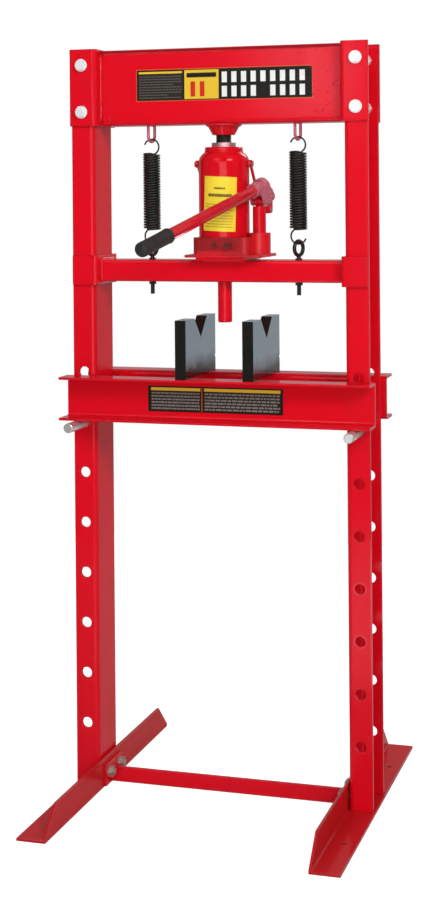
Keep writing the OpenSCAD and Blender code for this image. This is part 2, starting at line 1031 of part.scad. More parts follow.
module pump_plunger() {
    color(steel)
        difference() {
            union() {
                translate([pump_offset, 0, plunger_z])
                    cylinder(r = plunger_d / 2, h = pump_top - plunger_z);
                lever_plane()
                    plate(-eye_half, 2 * eye_half) {
                        link_shape(
                            [-eye_shift, plunger_pin_z], [eye_shift, plunger_pin_z], eye_r
                        );
                        translate([-eye_neck / 2, pump_top - 1])
                            square([eye_neck, plunger_pin_z - pump_top]);
                    }
            }
            lever_plane()
                plate(-plunger_d, 2 * plunger_d)
                    link_shape([-eye_shift, plunger_pin_z], [eye_shift, plunger_pin_z], slot_r);
        }
}

plunger_pin_at = [arm * cos(lever_drop - arm_low), arm * sin(lever_drop - arm_low)];

module lever_socket() {
    color(dark_red)
        lever_frame()
            difference() {
                union() {
                    for (z = [ear_in, -ear_in - ear_t])
                        plate(z, ear_t) {
                            circle(r = ear_r);
                            translate(plunger_pin_at)
                                circle(r = eye_r);
                            polygon([
                                [-ear_r + 0.2, 1], [-3, barrel_rise - 8], [barrel_start, barrel_rise],
                                [barrel_start + barrel_len - 8, barrel_rise],
                                [plunger_pin_at[0] + eye_r - 0.2, plunger_pin_at[1] + 1],
                                [plunger_pin_at[0] + 1, plunger_pin_at[1] - eye_r + 0.2],
                                [-1, -ear_r + 0.2],
                            ]);
                        }
                    translate([barrel_start, barrel_rise, 0])
                        rotate([0, 90, 0]) {
                            cylinder(r = knob_r, h = knob_len);
                            cylinder(r = barrel_r, h = barrel_len);
                        }
                }
                translate([handle_start, barrel_rise, 0])
                    rotate([0, 90, 0])
                        cylinder(r = handle_d / 2, h = barrel_len);
                cross_pin([0, 0], fulcrum_pin_d, ear_in + ear_t + 1);
                cross_pin(plunger_pin_at, plunger_pin_d, ear_in + ear_t + 1);
            }
}

module fulcrum_pin() {
    color(zinc)
        lever_frame()
            cross_pin([0, 0], fulcrum_pin_d, ear_in + ear_t + 1.5);
}

module plunger_pin() {
    color(zinc)
        lever_frame()
            cross_pin(plunger_pin_at, plunger_pin_d, ear_in + ear_t + 1.5);
}

module handle_tube() {
    color(dark_red)
        lever_frame()
            translate([handle_start, barrel_rise, 0])
                rotate([0, 90, 0])
                    difference() {
                        cylinder(r = handle_d / 2, h = lever_len - handle_start - 4);
                        translate([0, 0, -1])
                            cylinder(r = handle_d / 2 - handle_wall, h = lever_len);
                    }
}

module handle_grip() {
    edge = 4;
    color(rubber)
        lever_frame()
            translate([lever_len - grip_len, barrel_rise, 0])
                rotate([0, 90, 0])
                    difference() {
                        rotate_extrude() {
                            square([grip_d / 2, grip_len - edge]);
                            square([grip_d / 2 - edge, grip_len]);
                            translate([grip_d / 2 - edge, grip_len - edge])
                                circle(r = edge);
                        }
                        translate([0, 0, -1])
                            cylinder(r = handle_d / 2, h = grip_len - 3);
                    }
}

// ---- bed ----

module bed_channel(side) {
    color(frame_red)
        mirror([0, side < 0 ? 1 : 0, 0])
            translate([0, bed_back, bed_z + bed_h / 2])
                along_x(2 * bed_half_x)
                    channel(bed_h, bed_flange, bed_t, bend_r);
}

module bed_spacers() {
    color(frame_red)
        for (s = [-1, 1])
            translate([s * spacer_x, 0, bed_z + bed_h / 2])
                cube([spacer_t, 2 * bed_back, spacer_h], center = true);
}

module v_block(side) {
    x = vb_shift + side * (vb_gap + vb_t) / 2;
    color(block_grey)
        translate([x, 0, bed_top])
            along_x(vb_t)
                difference() {
                    translate([-vb_len / 2, 0])
                        square([vb_len, vb_h]);
                    polygon([
                        [-vb_open / 2 - 1, vb_h + 1], [0, vb_h - vb_open / 2], [vb_open / 2 + 1, vb_h + 1],
                    ]);
                    polygon([
                        [vb_len / 2 + 1, vb_notch_z - vb_notch / 2 - 1],
                        [vb_len / 2 - vb_notch / 2, vb_notch_z],
                        [vb_len / 2 + 1, vb_notch_z + vb_notch / 2 + 1],
                    ]);
                }
}

module bed_pin(side) {
    color(zinc)
        translate([side * mid_x, pin_len - half_d - pin_out, pin_rest_z])
            rotate([90, 0, 0]) {
                cylinder(r1 = pin_d / 2 - pin_chamfer, r2 = pin_d / 2, h = pin_chamfer);
                translate([0, 0, pin_chamfer])
                    cylinder(r = pin_d / 2, h = pin_len - 2 * pin_chamfer);
                translate([0, 0, pin_len - pin_chamfer])
                    cylinder(r1 = pin_d / 2, r2 = pin_d / 2 - pin_chamfer, h = pin_chamfer);
            }
}

upright(-1);  // upright_left
upright(1);  // upright_right
foot(-1);  // foot_left
foot(1);  // foot_right
tie_bar();
foot_bolts();
foot_nuts();
head_channel();
head_sleeve(-1);  // head_sleeve_left
head_sleeve(1);  // head_sleeve_right
head_bolts();
head_nuts();
jack_socket();
spring_loops();
press_bar();
guide_sleeve(-1);  // guide_sleeve_left
guide_sleeve(1);  // guide_sleeve_right
jack_seat();
press_ram();
eyebolts();
eyebolt_nuts();
spring(-1);  // spring_left
spring(1);  // spring_right
jack_base();
jack_plug();
jack_tank();
jack_cylinder();
jack_cap();
bail_studs();
pump_body();
fulcrum_links();
link_pin();
jack_ram();
extension_screw();
release_valve();
carry_bail();
pump_plunger();
lever_socket();
fulcrum_pin();
plunger_pin();
handle_tube();
handle_grip();
bed_channel(-1);  // bed_channel_front
bed_channel(1);  // bed_channel_rear
bed_spacers();
v_block(-1);  // v_block_left
v_block(1);  // v_block_right
bed_pin(-1);  // pin_left
bed_pin(1);  // pin_right
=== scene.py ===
# %% [markdown]
# # A hydraulic shop press
#
# This press is a steel H frame. Two channel uprights stand on angle feet, a deep channel joins them at
# the top, and a bottle jack pushes a sprung press bar down towards a bed that hangs on two loose pins.
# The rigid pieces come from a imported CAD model. Here we dress them: paint with orange peel, zinc on the
# fasteners, weld beads, wound springs, a threaded screw, a moulded grip and printed labels.

import json
import math

import bpy
import numpy as np
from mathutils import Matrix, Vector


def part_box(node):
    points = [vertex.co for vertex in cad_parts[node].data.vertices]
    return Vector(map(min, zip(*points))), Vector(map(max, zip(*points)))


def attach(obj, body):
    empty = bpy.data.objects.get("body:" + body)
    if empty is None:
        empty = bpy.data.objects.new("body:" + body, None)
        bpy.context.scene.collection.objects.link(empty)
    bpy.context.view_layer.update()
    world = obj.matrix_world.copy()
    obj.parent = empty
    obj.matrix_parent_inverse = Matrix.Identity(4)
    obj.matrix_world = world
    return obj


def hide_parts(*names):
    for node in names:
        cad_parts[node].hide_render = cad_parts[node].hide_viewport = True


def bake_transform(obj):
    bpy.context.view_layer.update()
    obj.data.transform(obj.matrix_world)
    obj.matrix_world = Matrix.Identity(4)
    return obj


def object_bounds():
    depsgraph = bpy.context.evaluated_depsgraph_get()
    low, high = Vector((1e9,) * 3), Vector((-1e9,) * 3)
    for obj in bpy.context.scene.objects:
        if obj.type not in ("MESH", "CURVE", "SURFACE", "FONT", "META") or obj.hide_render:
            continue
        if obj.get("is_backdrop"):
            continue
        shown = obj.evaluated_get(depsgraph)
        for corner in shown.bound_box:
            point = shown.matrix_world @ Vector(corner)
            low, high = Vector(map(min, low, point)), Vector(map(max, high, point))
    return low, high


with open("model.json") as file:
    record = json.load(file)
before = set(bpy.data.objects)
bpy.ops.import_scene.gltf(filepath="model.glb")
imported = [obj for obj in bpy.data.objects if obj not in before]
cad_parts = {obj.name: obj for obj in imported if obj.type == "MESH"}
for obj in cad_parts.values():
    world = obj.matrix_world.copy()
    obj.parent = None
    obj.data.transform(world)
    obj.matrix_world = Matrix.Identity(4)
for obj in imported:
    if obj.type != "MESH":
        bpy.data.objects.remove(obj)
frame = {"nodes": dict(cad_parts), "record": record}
cad_low, cad_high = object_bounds()
MM = 0.001
print("nodes", len(frame["nodes"]), "box", [round(v, 4) for v in (*cad_low, *cad_high)])

# %% [markdown]
# ## Places
#
# A CAD node's mesh already lies in its place, so its box tells us where to put what we add. We read
# most positions from those boxes, so the dressing still fits when the model changes size.

# %% Reading boxes


def corners(node):
    """Lowest and highest corner of a CAD node as two numpy arrays, in metres."""
    low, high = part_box(node)
    return np.array(low, float), np.array(high, float)


head_low, head_high = corners("head_channel")
bar_low, bar_high = corners("press_bar")
tank_low, tank_high = corners("jack_tank")
block_foot = corners("v_block_left")[0][2]
print("head", head_low.round(4), head_high.round(4))
print("bar", bar_low.round(4), bar_high.round(4))

# %% [markdown]
# ## Camera
#
# The camera stands to the right of the machine, about 1.2 m above the floor. A camera that looks down
# would make the uprights lean together. This one looks level and its lens is shifted down to take in the
# feet, as on a view camera. Its place and lens are fixed numbers, and its axes are built from three turns.

# %% Camera
CAMERA_PLACE = (0.95386, -3.03563, 1.19234)
CAMERA_YAW, CAMERA_PITCH, CAMERA_ROLL = 16.2354, -0.0779, -0.4667
CAMERA_LENS = 62.903844
CAMERA_SHIFT = (-0.04733985, -0.29348534)


def camera_axes(yaw, pitch, roll):
    """Columns right, up and backward of a camera turned by yaw about Z, then pitched and rolled."""
    y, p, r = (math.radians(v) for v in (yaw, pitch, roll))
    forward = np.array([-math.sin(y) * math.cos(p), math.cos(y) * math.cos(p), math.sin(p)])
    right = np.array([math.cos(y), math.sin(y), 0])
    up = np.cross(right, forward)
    c, s = math.cos(r), math.sin(r)
    return np.column_stack([right * c + up * s, up * c - right * s, -forward])


def put(thing, axes, place):
    """Links a camera or lamp into the scene. The columns of its matrix are its three axes and its place."""
    bpy.context.scene.collection.objects.link(thing)
    matrix = np.eye(4)
    matrix[:3, :3], matrix[:3, 3] = axes, place
    thing.matrix_world = [list(map(float, row)) for row in matrix.T]


camera_data = bpy.data.cameras.new("camera")
camera = bpy.data.objects.new("camera", camera_data)
put(camera, camera_axes(CAMERA_YAW, CAMERA_PITCH, CAMERA_ROLL), CAMERA_PLACE)
camera_data.sensor_width = 36
camera_data.lens = CAMERA_LENS
camera_data.shift_x, camera_data.shift_y = CAMERA_SHIFT
camera_data.clip_end = 60
bpy.context.scene.camera = camera
print("lens", round(camera_data.lens, 2), "shift", round(camera_data.shift_y, 3))

# %% [markdown]
# ## Shader groups
#
# Most finishes here share three effects, so each is a node group with named inputs: the ripple of
# sprayed paint on softly rounded edges, uneven patches from handling and dust, and a fine grain. A
# group only gives colours, masks and normals. The Principled shader stays in each material.

# %% Group helpers
FLOAT, VECTOR = "NodeSocketFloat", "NodeSocketVector"


def new_group(name, inputs, outputs):
    """A shader group with the named sockets, its inner inputs by name, and its output node."""
    tree = bpy.data.node_groups.new(name, "ShaderNodeTree")
    for way, sockets in (("INPUT", inputs), ("OUTPUT", outputs)):
        for label, kind in sockets.items():
            tree.interface.new_socket(label, in_out=way, socket_type=kind)
    print("group", name, "takes", list(inputs), "and gives", list(outputs))
    return tree, tree.nodes.new("NodeGroupInput").outputs, tree.nodes.new("NodeGroupOutput")


def feed(node, sockets):
    """Feeds a node's inputs, named or numbered, each with a link from a socket or with a plain value."""
    for socket, value in sockets.items():
        if isinstance(value, bpy.types.NodeSocket):
            node.id_data.links.new(value, node.inputs[socket])
        else:
            node.inputs[socket].default_value = value


def add_node(tree, kind, sockets=None, **settings):
    """A new shader node with these settings and fed inputs; gives back its outputs."""
    node = tree.nodes.new("ShaderNode" + kind)
    for setting, value in settings.items():
        setattr(node, setting, value)
    feed(node, sockets or {})
    return node.outputs


def math_node(operation, *values, clamp=False):
    """The result of a Math node on one or two values, of which at least one is a socket."""
    tree = next(v.id_data for v in values if isinstance(v, bpy.types.NodeSocket))
    return add_node(tree, "Math", dict(enumerate(values)), operation=operation, use_clamp=clamp)[0]


def times(first, second, clamp=False):
    """The product of a socket and a socket or number."""
    return math_node("MULTIPLY", first, second, clamp=clamp)


def plus(first, second, clamp=False):
    """The sum of a socket and a socket or number."""
    return math_node("ADD", first, second, clamp=clamp)


def ramp_node(value, low, high):
    """A Map Range node that takes low..high to 0..1, clamped."""
    fed = {"Value": value, "From Min": low, "From Max": high}
    return add_node(value.id_data, "MapRange", fed)["Result"]


def noise_node(vector, scale, detail=2.0, roughness=0.5):
    """A Noise Texture on a vector; scale may be a socket or a number."""
    fed = {"Vector": vector, "Scale": scale, "Detail": detail, "Roughness": roughness}
    return add_node(vector.id_data, "TexNoise", fed)["Fac"]


def split_axes(vector):
    """The X, Y and Z of a vector."""
    return add_node(vector.id_data, "SeparateXYZ", {0: vector})


# %% [markdown]
# ### Ripple and rounded edges
#
# Real plate has edges that the paint rounds off. The Bevel node bends the normal near an edge as if it
# were rounded, and the difference between that normal and the flat one is a mask of the edges. The
# ripple is noise, used as height by a Bump node on top of the rounded normal.

# %% Group: ripple
EDGE_GAIN = 6.0
ripple_group, given, result = new_group(
    "ripple",
    {"Vector": VECTOR, "Ripple size": FLOAT, "Ripple height": FLOAT, "Edge radius": FLOAT},
    {"Normal": VECTOR, "Edge": FLOAT},
)
rounded = add_node(ripple_group, "Bevel", {"Radius": given["Edge radius"]}, samples=4)["Normal"]
density = math_node("DIVIDE", 1.0, given["Ripple size"])
ripple = noise_node(given["Vector"], density, 3.0, 0.45)
fed = {"Strength": 1.0, "Distance": given["Ripple height"], "Height": ripple, "Normal": rounded}
bumped = add_node(ripple_group, "Bump", fed)["Normal"]
flat = add_node(ripple_group, "NewGeometry")["Normal"]
alike = add_node(ripple_group, "VectorMath", {0: rounded, 1: flat}, operation="DOT_PRODUCT")["Value"]
bent = math_node("SUBTRACT", 1.0, alike)
feed(result, {"Normal": bumped, "Edge": times(bent, EDGE_GAIN, True)})

# %% [markdown]
# ### Patches
#
# Nothing in a workshop is evenly clean. A broad noise, stretched along Z as drips and wipes are, gives
# soft patches that darken the colour and dull the gloss a little. A finer one breaks up rubbed edges.

# %% Group: patches
DRAWN_OUT = (1.0, 1.0, 0.45)
patch_group, given, result = new_group(
    "patches", {"Vector": VECTOR, "Patch size": FLOAT}, {"Patch": FLOAT, "Fine": FLOAT}
)
density = math_node("DIVIDE", 1.0, given["Patch size"])
drawn = add_node(patch_group, "Mapping", {"Scale": DRAWN_OUT, "Vector": given["Vector"]})["Vector"]
broad = noise_node(drawn, density, 3.0, 0.6)
finer = noise_node(given["Vector"], times(density, 7.0), 4.0, 0.65)
patch = ramp_node(broad, 0.38, 0.68)
feed(result, {"Patch": patch, "Fine": ramp_node(finer, 0.35, 0.7)})

# %% [markdown]
# ### Grain
#
# Rolled, ground and plated steel has a fine grain that runs one way. Noise on coordinates that are
# squeezed along one axis gives it, and it is small enough to change the roughness and not the shape.

# %% Group: grain
grain_group, given, result = new_group(
    "grain", {"Vector": VECTOR, "Squeeze": VECTOR, "Grain size": FLOAT}, {"Grain": FLOAT}
)
fed = {0: given["Vector"], 1: given["Squeeze"]}
squeezed = add_node(grain_group, "VectorMath", fed, operation="MULTIPLY")["Vector"]
density = math_node("DIVIDE", 1.0, given["Grain size"])
grain = noise_node(squeezed, density, 2.0, 0.7)
feed(result, {"Grain": ramp_node(grain, 0.3, 0.7)})

# %% [markdown]
# ## Finishes
#
# One function builds every finish from the three groups. The values that are the same all over a surface
# go straight on the shader's sockets. Only what changes over the surface is linked: the base colour goes
# from clean to dusty in the patches and to a worn colour where edges are rubbed, and the roughness follows.
# On metals the worn colour is bare metal. On the frame's enamel it is a darker red, partly worn paint and
# partly painted shade along the rounded edges.

# %% The finish builder


def group_node(group, vector, **values):
    """A group placed in a material, reading the vector, with plain values on its other inputs."""
    fed = {label.replace("_", " ").capitalize(): value for label, value in values.items()}
    return add_node(vector.id_data, "Group", {"Vector": vector, **fed}, node_tree=group)


def mix_colours(factor, first, second):
    """A Mix node between two colours, each a socket or plain numbers. Its colour sockets are 6, 7 and 2."""
    first, second = ((*v, 1.0) if isinstance(v, tuple) else v for v in (first, second))
    return add_node(factor.id_data, "Mix", {0: factor, 6: first, 7: second}, data_type="RGBA")[2]


def new_material(name):
    """A material, its node tree and its Principled shader."""
    made = bpy.data.materials.new(name)
    made.use_nodes = True
    return made, made.node_tree, made.node_tree.nodes["Principled BSDF"]


def make_finish(
    name, clean, dusty, worn_and_edge_shade, roughness, ripple=(4, 0.05), edge=1.2, patches=(120, 0.5), grain=1,
    squeeze=(1.0, 1.0, 1.0), wear=0.3, metallic=0.0, coat=0.0, edge_coat=0.0, specular=0.5,
    tint=(1.0, 1.0, 1.0), cover=None, bare_cover=False,
):
    """A Principled material whose colour and roughness change with patches, grain and rubbed edges.
    ripple is a size and a height, patches a size and a strength, edge a radius and grain a size, all in
    millimetres. cover gives a mask and a colour laid over the rest; a bare cover is metal."""
    made, tree, shader = new_material(name)
    place = add_node(tree, "TexCoord")["Object"]
    ripples = {"ripple_size": ripple[0] * MM, "ripple_height": ripple[1] * MM}
    skin = group_node(ripple_group, place, edge_radius=edge * MM, **ripples)
    spots = group_node(patch_group, place, patch_size=patches[0] * MM)
    fine = group_node(grain_group, place, grain_size=grain * MM, squeeze=squeeze)
    base = mix_colours(times(spots["Patch"], patches[1]), clean, dusty)
    # Rubbed edges: real wear, and on the frame's enamel also painted shade along the edges.
    wear_and_edge_shade = times(times(skin["Edge"], spots["Fine"]), wear, True)
    base = mix_colours(wear_and_edge_shade, base, worn_and_edge_shade)
    if cover is not None:
        mask, over = cover(place, spots)
        base = mix_colours(mask, base, over)
        metallic = mask if bare_cover else metallic
    uneven = plus(fine["Grain"], spots["Patch"])
    uneven = times(uneven, (roughness[1] - roughness[0]) / 2)
    sockets = {
        "Base Color": base,
        "Roughness": plus(uneven, roughness[0]),
        "Normal": skin["Normal"],
        "Metallic": metallic,
        "Coat Weight": times(skin["Edge"], edge_coat, True) if edge_coat else coat,
        "Coat Roughness": 0.06,
        "Specular IOR Level": specular,
        "Specular Tint": (*tint, 1.0),
    }
    feed(shader, sockets)
    made.diffuse_color = (*clean, 1.0)
    return made


# %% [markdown]
# The frame is sprayed with one thick coat of gloss enamel: a strong, slightly blue red. The paint is
# thickest along edges and inside corners, where it catches thin bright lines, so its clear coat is laid
# on by the edge mask alone. Its rubbed edges turn a darker red, partly worn paint and partly painted
# shade along the rounded edges. A line of painted shade runs under the head's top edge, where the sheet
# is folded over and turns away from the light. The feet are painted a shade darker, as painted shade for
# the dimmer light near the floor, and their gloss is duller. The jack is painted by its own maker. Its
# lever and bail are a thinner metallic red, and its lever socket is paler and more pink, partly its own
# paint and partly a painted sheen.

# %% Paints
# The third colour darkens rubbed edges: partly worn paint, partly painted shade along the edges.
FRAME_COATS = ((0.73, 0.004, 0.014), (0.60, 0.006, 0.016), (0.42, 0.02, 0.022))
# The feet's colours are the frame's made darker: painted shade for the dimmer light near the floor.
SHADED_FOOT_COATS = ((0.61, 0.013, 0.017), (0.50, 0.016, 0.019), (0.36, 0.02, 0.022))
# Painted shade: the dark red of the line under the head's top edge.
TOP_SHADE_RED = (0.22, 0.003, 0.006)
# Painted shade on the jack's base: dark red on its front block, near black where it meets its seat.
BASE_SHADE_RED, SEAM_SHADE_RED = (0.25, 0.010, 0.010), (0.03, 0.012, 0.010)


def frame_enamel(name, coats=FRAME_COATS, specular=0.16, cover=None):
    """The frame's gloss enamel in three colours, with or without a mask and colour laid over it."""
    return make_finish(
        name, *coats, (0.12, 0.22), ripple=(6, 0.08), edge=5, patches=(120, 0.35), wear=0.35,
        edge_coat=4.0, specular=specular, tint=(1.0, 0.74, 0.9), cover=cover,
    )


def painted_top_shade(place, spots):
    """A mask of painted shade: the dark line just under the head's top edge, ragged with the fine patches.
    """
    waver = times(spots["Fine"], 2 * MM)
    depth = plus(math_node("SUBTRACT", head_high[2], split_axes(place)["Z"]), waver)
    line = times(ramp_node(depth, 0.5 * MM, 4 * MM), ramp_node(depth, 11 * MM, 7 * MM))
    return times(line, 0.8), TOP_SHADE_RED


def painted_base_shade(place, spots):
    """A mask of painted shade that is 1 on the front block of the jack's base and 0 on its boss and foot,
    and a colour of painted shade that darkens to near black low on the left, where the base stands on its
    seat."""
    axes = split_axes(place)
    seat = bar_high[2] + 14 * MM
    beside = ramp_node(axes["X"], 62 * MM, 40 * MM)
    above = ramp_node(axes["Z"], seat, bar_high[2] + 22 * MM)
    uneven = plus(times(spots["Fine"], -0.35), 1.0)
    seam = ramp_node(axes["Z"], bar_high[2] + 27 * MM, seat)
    left = ramp_node(axes["X"], 0.0, -50 * MM)
    over = mix_colours(times(times(seam, left), 0.9), BASE_SHADE_RED, SEAM_SHADE_RED)
    return times(times(beside, above), uneven, True), over


red_enamel = frame_enamel("red_enamel")
head_enamel = frame_enamel("head_enamel", cover=painted_top_shade)
shaded_foot_enamel = frame_enamel("shaded_foot_enamel", SHADED_FOOT_COATS, specular=0.07)
jack_enamel = make_finish(
    "jack_enamel", (0.66, 0.004, 0.012), (0.54, 0.008, 0.014), (0.36, 0.02, 0.02), (0.08, 0.18),
    ripple=(8, 0.08), patches=(50, 0.3), specular=0.17,
)
# The jack's base carries painted shade over its front block and along its seat.
cast_enamel = make_finish(
    "cast_enamel", (0.66, 0.008, 0.018), (0.36, 0.014, 0.016), (0.12, 0.03, 0.02), (0.22, 0.42),
    ripple=(3.5, 0.2), edge=2, patches=(40, 0.6), wear=0.8, specular=0.3, cover=painted_base_shade,
)
valve_enamel = make_finish(
    "valve_enamel", (0.22, 0.008, 0.010), (0.10, 0.010, 0.008), (0.40, 0.05, 0.05), (0.2, 0.4),
    edge=1.5, patches=(20, 0.7), wear=0.6, specular=0.4,
)
candy_red = make_finish(
    "candy_red", (0.68, 0.011, 0.023), (0.56, 0.040, 0.055), (0.60, 0.20, 0.24), (0.14, 0.26),
    ripple=(10, 0.06), patches=(40, 0.5), metallic=0.25, coat=0.3,
)
# The lever socket's paler pink is partly its own paint and partly a painted sheen.
pink_paint_and_sheen = make_finish(
    "pink_paint_and_sheen", (0.60, 0.115, 0.170), (0.50, 0.15, 0.21), (0.60, 0.22, 0.26), (0.18, 0.32),
    ripple=(20, 0.02), patches=(30, 0.35), grain=4, wear=0.1, metallic=0.25, coat=0.3,
)

# %% [markdown]
# The head's bolts are zinc plated, nearly white with a soft shine. The feet's bolts have the same
# plating, gone dull and brown, and their colour is also darkened as painted shade for the dim light low
# down. The bed pins are plain turned steel, and the jack's ram is ground bright.
# Springs and eyebolts are blackened in hot oil, and the V blocks are flame-cut plate with ground faces,
# dark with old oil. The grip is a dipped rubber sleeve. All come from the one finish builder.

# %% Metals and rubber
GROUND_STEEL = (0.42, 0.50, 0.57)


def ground_faces(place, spots):
    """A mask that is 1 on the ground sides and top of a plate that stands across X, thinning out towards
    its foot so that its sides turn darker towards the bottom, and 0 on its flame-cut edges. It reads the
    object normal and the height."""
    facing = split_axes(add_node(place.id_data, "TexCoord")["Normal"])
    side = ramp_node(math_node("ABSOLUTE", facing["X"]), 0.85, 0.95)
    top = ramp_node(facing["Z"], 0.85, 0.95)
    waver = times(spots["Patch"], 10 * MM)
    height = math_node("SUBTRACT", split_axes(place)["Z"], waver)
    clean = ramp_node(height, block_foot + 10 * MM, block_foot + 42 * MM)
    ground = plus(times(side, clean), top, True)
    pits = ramp_node(noise_node(place, 420.0, 1.0), 0.76, 0.70)
    return times(ground, pits), GROUND_STEEL


zinc_plate = make_finish(
    "zinc_plate", (0.92, 0.93, 0.94), (0.76, 0.76, 0.74), (0.97, 0.97, 0.97), (0.22, 0.4),
    ripple=(2, 0.03), edge=0.8, patches=(10, 0.5), grain=0.6, wear=0.6, metallic=0.25,
)
# The feet's bolts: dull brown zinc, darkened further as painted shade for the dim light low down.
dull_zinc_and_shade = make_finish(
    "dull_zinc_and_shade", (0.48, 0.38, 0.34), (0.22, 0.15, 0.13), (0.70, 0.68, 0.66), (0.35, 0.55),
    ripple=(2, 0.03), edge=0.6, patches=(6, 0.8), grain=0.6, metallic=0.5,
)
bright_steel = make_finish(
    "bright_steel", (0.70, 0.47, 0.48), (0.54, 0.36, 0.37), (0.85, 0.85, 0.85), (0.4, 0.55),
    ripple=(4, 0.01), edge=0.8, patches=(20, 0.5), grain=2, squeeze=(1.0, 1.0, 12.0), metallic=1.0,
)
pin_steel = make_finish(
    "pin_steel", (0.76, 0.75, 0.74), (0.50, 0.49, 0.48), (0.74, 0.74, 0.74), (0.34, 0.5),
    ripple=(3, 0.03), edge=0.6, patches=(20, 0.5), grain=0.8, squeeze=(1.0, 0.1, 1.0), metallic=0.85,
)
black_steel = make_finish(
    "black_steel", (0.012, 0.012, 0.010), (0.035, 0.032, 0.026), (0.10, 0.10, 0.09), (0.3, 0.5),
    ripple=(1.5, 0.04), edge=0.5, patches=(15, 0.5), grain=0.8, metallic=0.3,
)
block_steel = make_finish(
    "block_steel", (0.010, 0.010, 0.009), (0.016, 0.015, 0.014), (0.05, 0.05, 0.05), (0.14, 0.26),
    ripple=(12, 0.1), edge=1, patches=(50, 0.5), grain=3, squeeze=(1.0, 1.0, 9.0), wear=0.5,
    specular=0.35, cover=ground_faces, bare_cover=True,
)
grip_rubber = make_finish(
    "grip_rubber", (0.020, 0.018, 0.017), (0.040, 0.036, 0.034), (0.06, 0.055, 0.05), (0.5, 0.7),
    ripple=(1.5, 0.08), edge=1, patches=(30, 0.5), specular=0.3,
)

# %% [markdown]
# ## Dressing the CAD nodes
#
# Each node keeps its own mesh. Only the material in its slots changes.

# %% Finishes on nodes
finish_of = {name: red_enamel for name in frame["nodes"]}
for names, finish in (
    ("head_channel", head_enamel),
    ("foot_left foot_right", shaded_foot_enamel),
    ("head_bolts head_nuts", zinc_plate),
    ("foot_bolts foot_nuts", dull_zinc_and_shade),
    ("pin_left pin_right", pin_steel),
    ("jack_tank jack_cap pump_body pump_plunger jack_socket", jack_enamel),
    ("jack_base", cast_enamel),
    ("jack_plug release_valve", valve_enamel),
    ("jack_ram jack_cylinder", bright_steel),
    ("handle_tube carry_bail bail_studs fulcrum_links", candy_red),
    ("lever_socket fulcrum_pin plunger_pin link_pin spring_loops", pink_paint_and_sheen),
    ("handle_grip", grip_rubber),
    ("eyebolts eyebolt_nuts spring_left spring_right extension_screw", black_steel),
    ("v_block_left v_block_right", block_steel),
):
    finish_of.update({name: finish for name in names.split()})
for name, node in frame["nodes"].items():
    for material_slot in node.material_slots:
        material_slot.material = finish_of[name]
print("finishes", len(set(finish_of.values())), "on", len(finish_of), "nodes")

# %% [markdown]
# ## Surfaces from arrays
#
# A new piece here is always the same thing: a grid of points, worked out at once with numpy, whose
# neighbours are joined by four-sided faces. A tube is a grid whose rows are rings round a path.

# %% Surface helpers


def grid_faces(rows, columns, loop_rows=False, loop_columns=True):
    """Four-sided faces between neighbouring points of a grid; loops join the last back to the first."""
    i = np.arange(rows if loop_rows else rows - 1)[:, None]
    j = np.arange(columns if loop_columns else columns - 1)[None, :]
    below, beside = (i + 1) % rows, (j + 1) % columns
    four = np.broadcast_arrays(
        i * columns + j, i * columns + beside, below * columns + beside, below * columns + j
    )
    return np.stack(four, -1).reshape(-1, 4)


def add_piece(name, points, faces, finish, body, smooth=True):
    """Puts points and faces in a new mesh object with a finish, riding on a CAD body."""
    mesh = bpy.data.meshes.new(name)
    mesh.from_pydata(np.asarray(points).reshape(-1, 3).tolist(), [], faces)
    mesh.polygons.foreach_set("use_smooth", np.full(len(mesh.polygons), smooth))
    mesh.materials.append(finish)
    mesh.update()
    piece = bpy.data.objects.new(name, mesh)
    bpy.context.scene.collection.objects.link(piece)
    if body is not None:
        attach(piece, body)
    print(name, "faces", len(mesh.polygons))
    return piece


def unit_rows(vectors):
    """Each row divided by its own length."""
    return vectors / np.linalg.norm(vectors, axis=-1, keepdims=True)


def full_turn(count):
    """Angles at equal steps round a full turn."""
    return np.linspace(0, 2 * np.pi, count, endpoint=False)


def tube_points(path, outward, radius, sides, tangent=None):
    """Rings round a path: point + radius * (cos a * outward + sin a * across), with a from 0 to a full
    turn and across = tangent x outward. radius is an array, one per ring, or one per ring and side."""
    path = np.asarray(path, float)
    if tangent is None:
        tangent = unit_rows(np.gradient(path, axis=0))
    outward = np.broadcast_to(np.asarray(outward, float), path.shape)
    outward = unit_rows(outward - (outward * tangent).sum(-1, keepdims=True) * tangent)
    across = np.cross(tangent, outward)
    turn = full_turn(sides)
    radius = np.broadcast_to(radius[:, None] if radius.ndim == 1 else radius, (len(path), sides))
    ring = np.cos(turn)[None, :, None] * outward[:, None] + np.sin(turn)[None, :, None] * across[:, None]
    return path[:, None] + radius[..., None] * ring


def capped_faces(rings, sides):
    """The faces of an open tube with its two ends closed by flat many-sided faces."""
    ends = [list(range(sides))[::-1], list(range((rings - 1) * sides, rings * sides))]
    return grid_faces(rings, sides).tolist() + ends


# %% [markdown]
# ## Return springs
#
# Each spring is one wire: close coils, then the last coil turns up and bends into an open hook. The CAD
# keeps the wire six-sided to stay light. Here it is round, along the same path: the coils are a helix,
# the hook an arc in the plane across the machine, and a Bezier curve carries the wire from one to the
# other. The lower hook is the upper one turned half a turn. At rest the springs already hang a little
# open, and the wire thins where it is drawn out into the hooks, so the coils nearly close and the hooks
# stay clear of their rings.

# %% Spring wire
SPRING_WIRE, COIL_WIRE, WIRE_SIDES = 3.5 * MM, 4.5 * MM, 10
COIL_TURNS, POINTS_PER_TURN = 29, 32
HOOK_FROM, HOOK_TO = math.radians(-48), math.radians(162)
HOOK_RISE, CURVE_ARM = 0.9, 0.66  # in coil radii: the coil's end to the hook's centre, the Bezier's arms


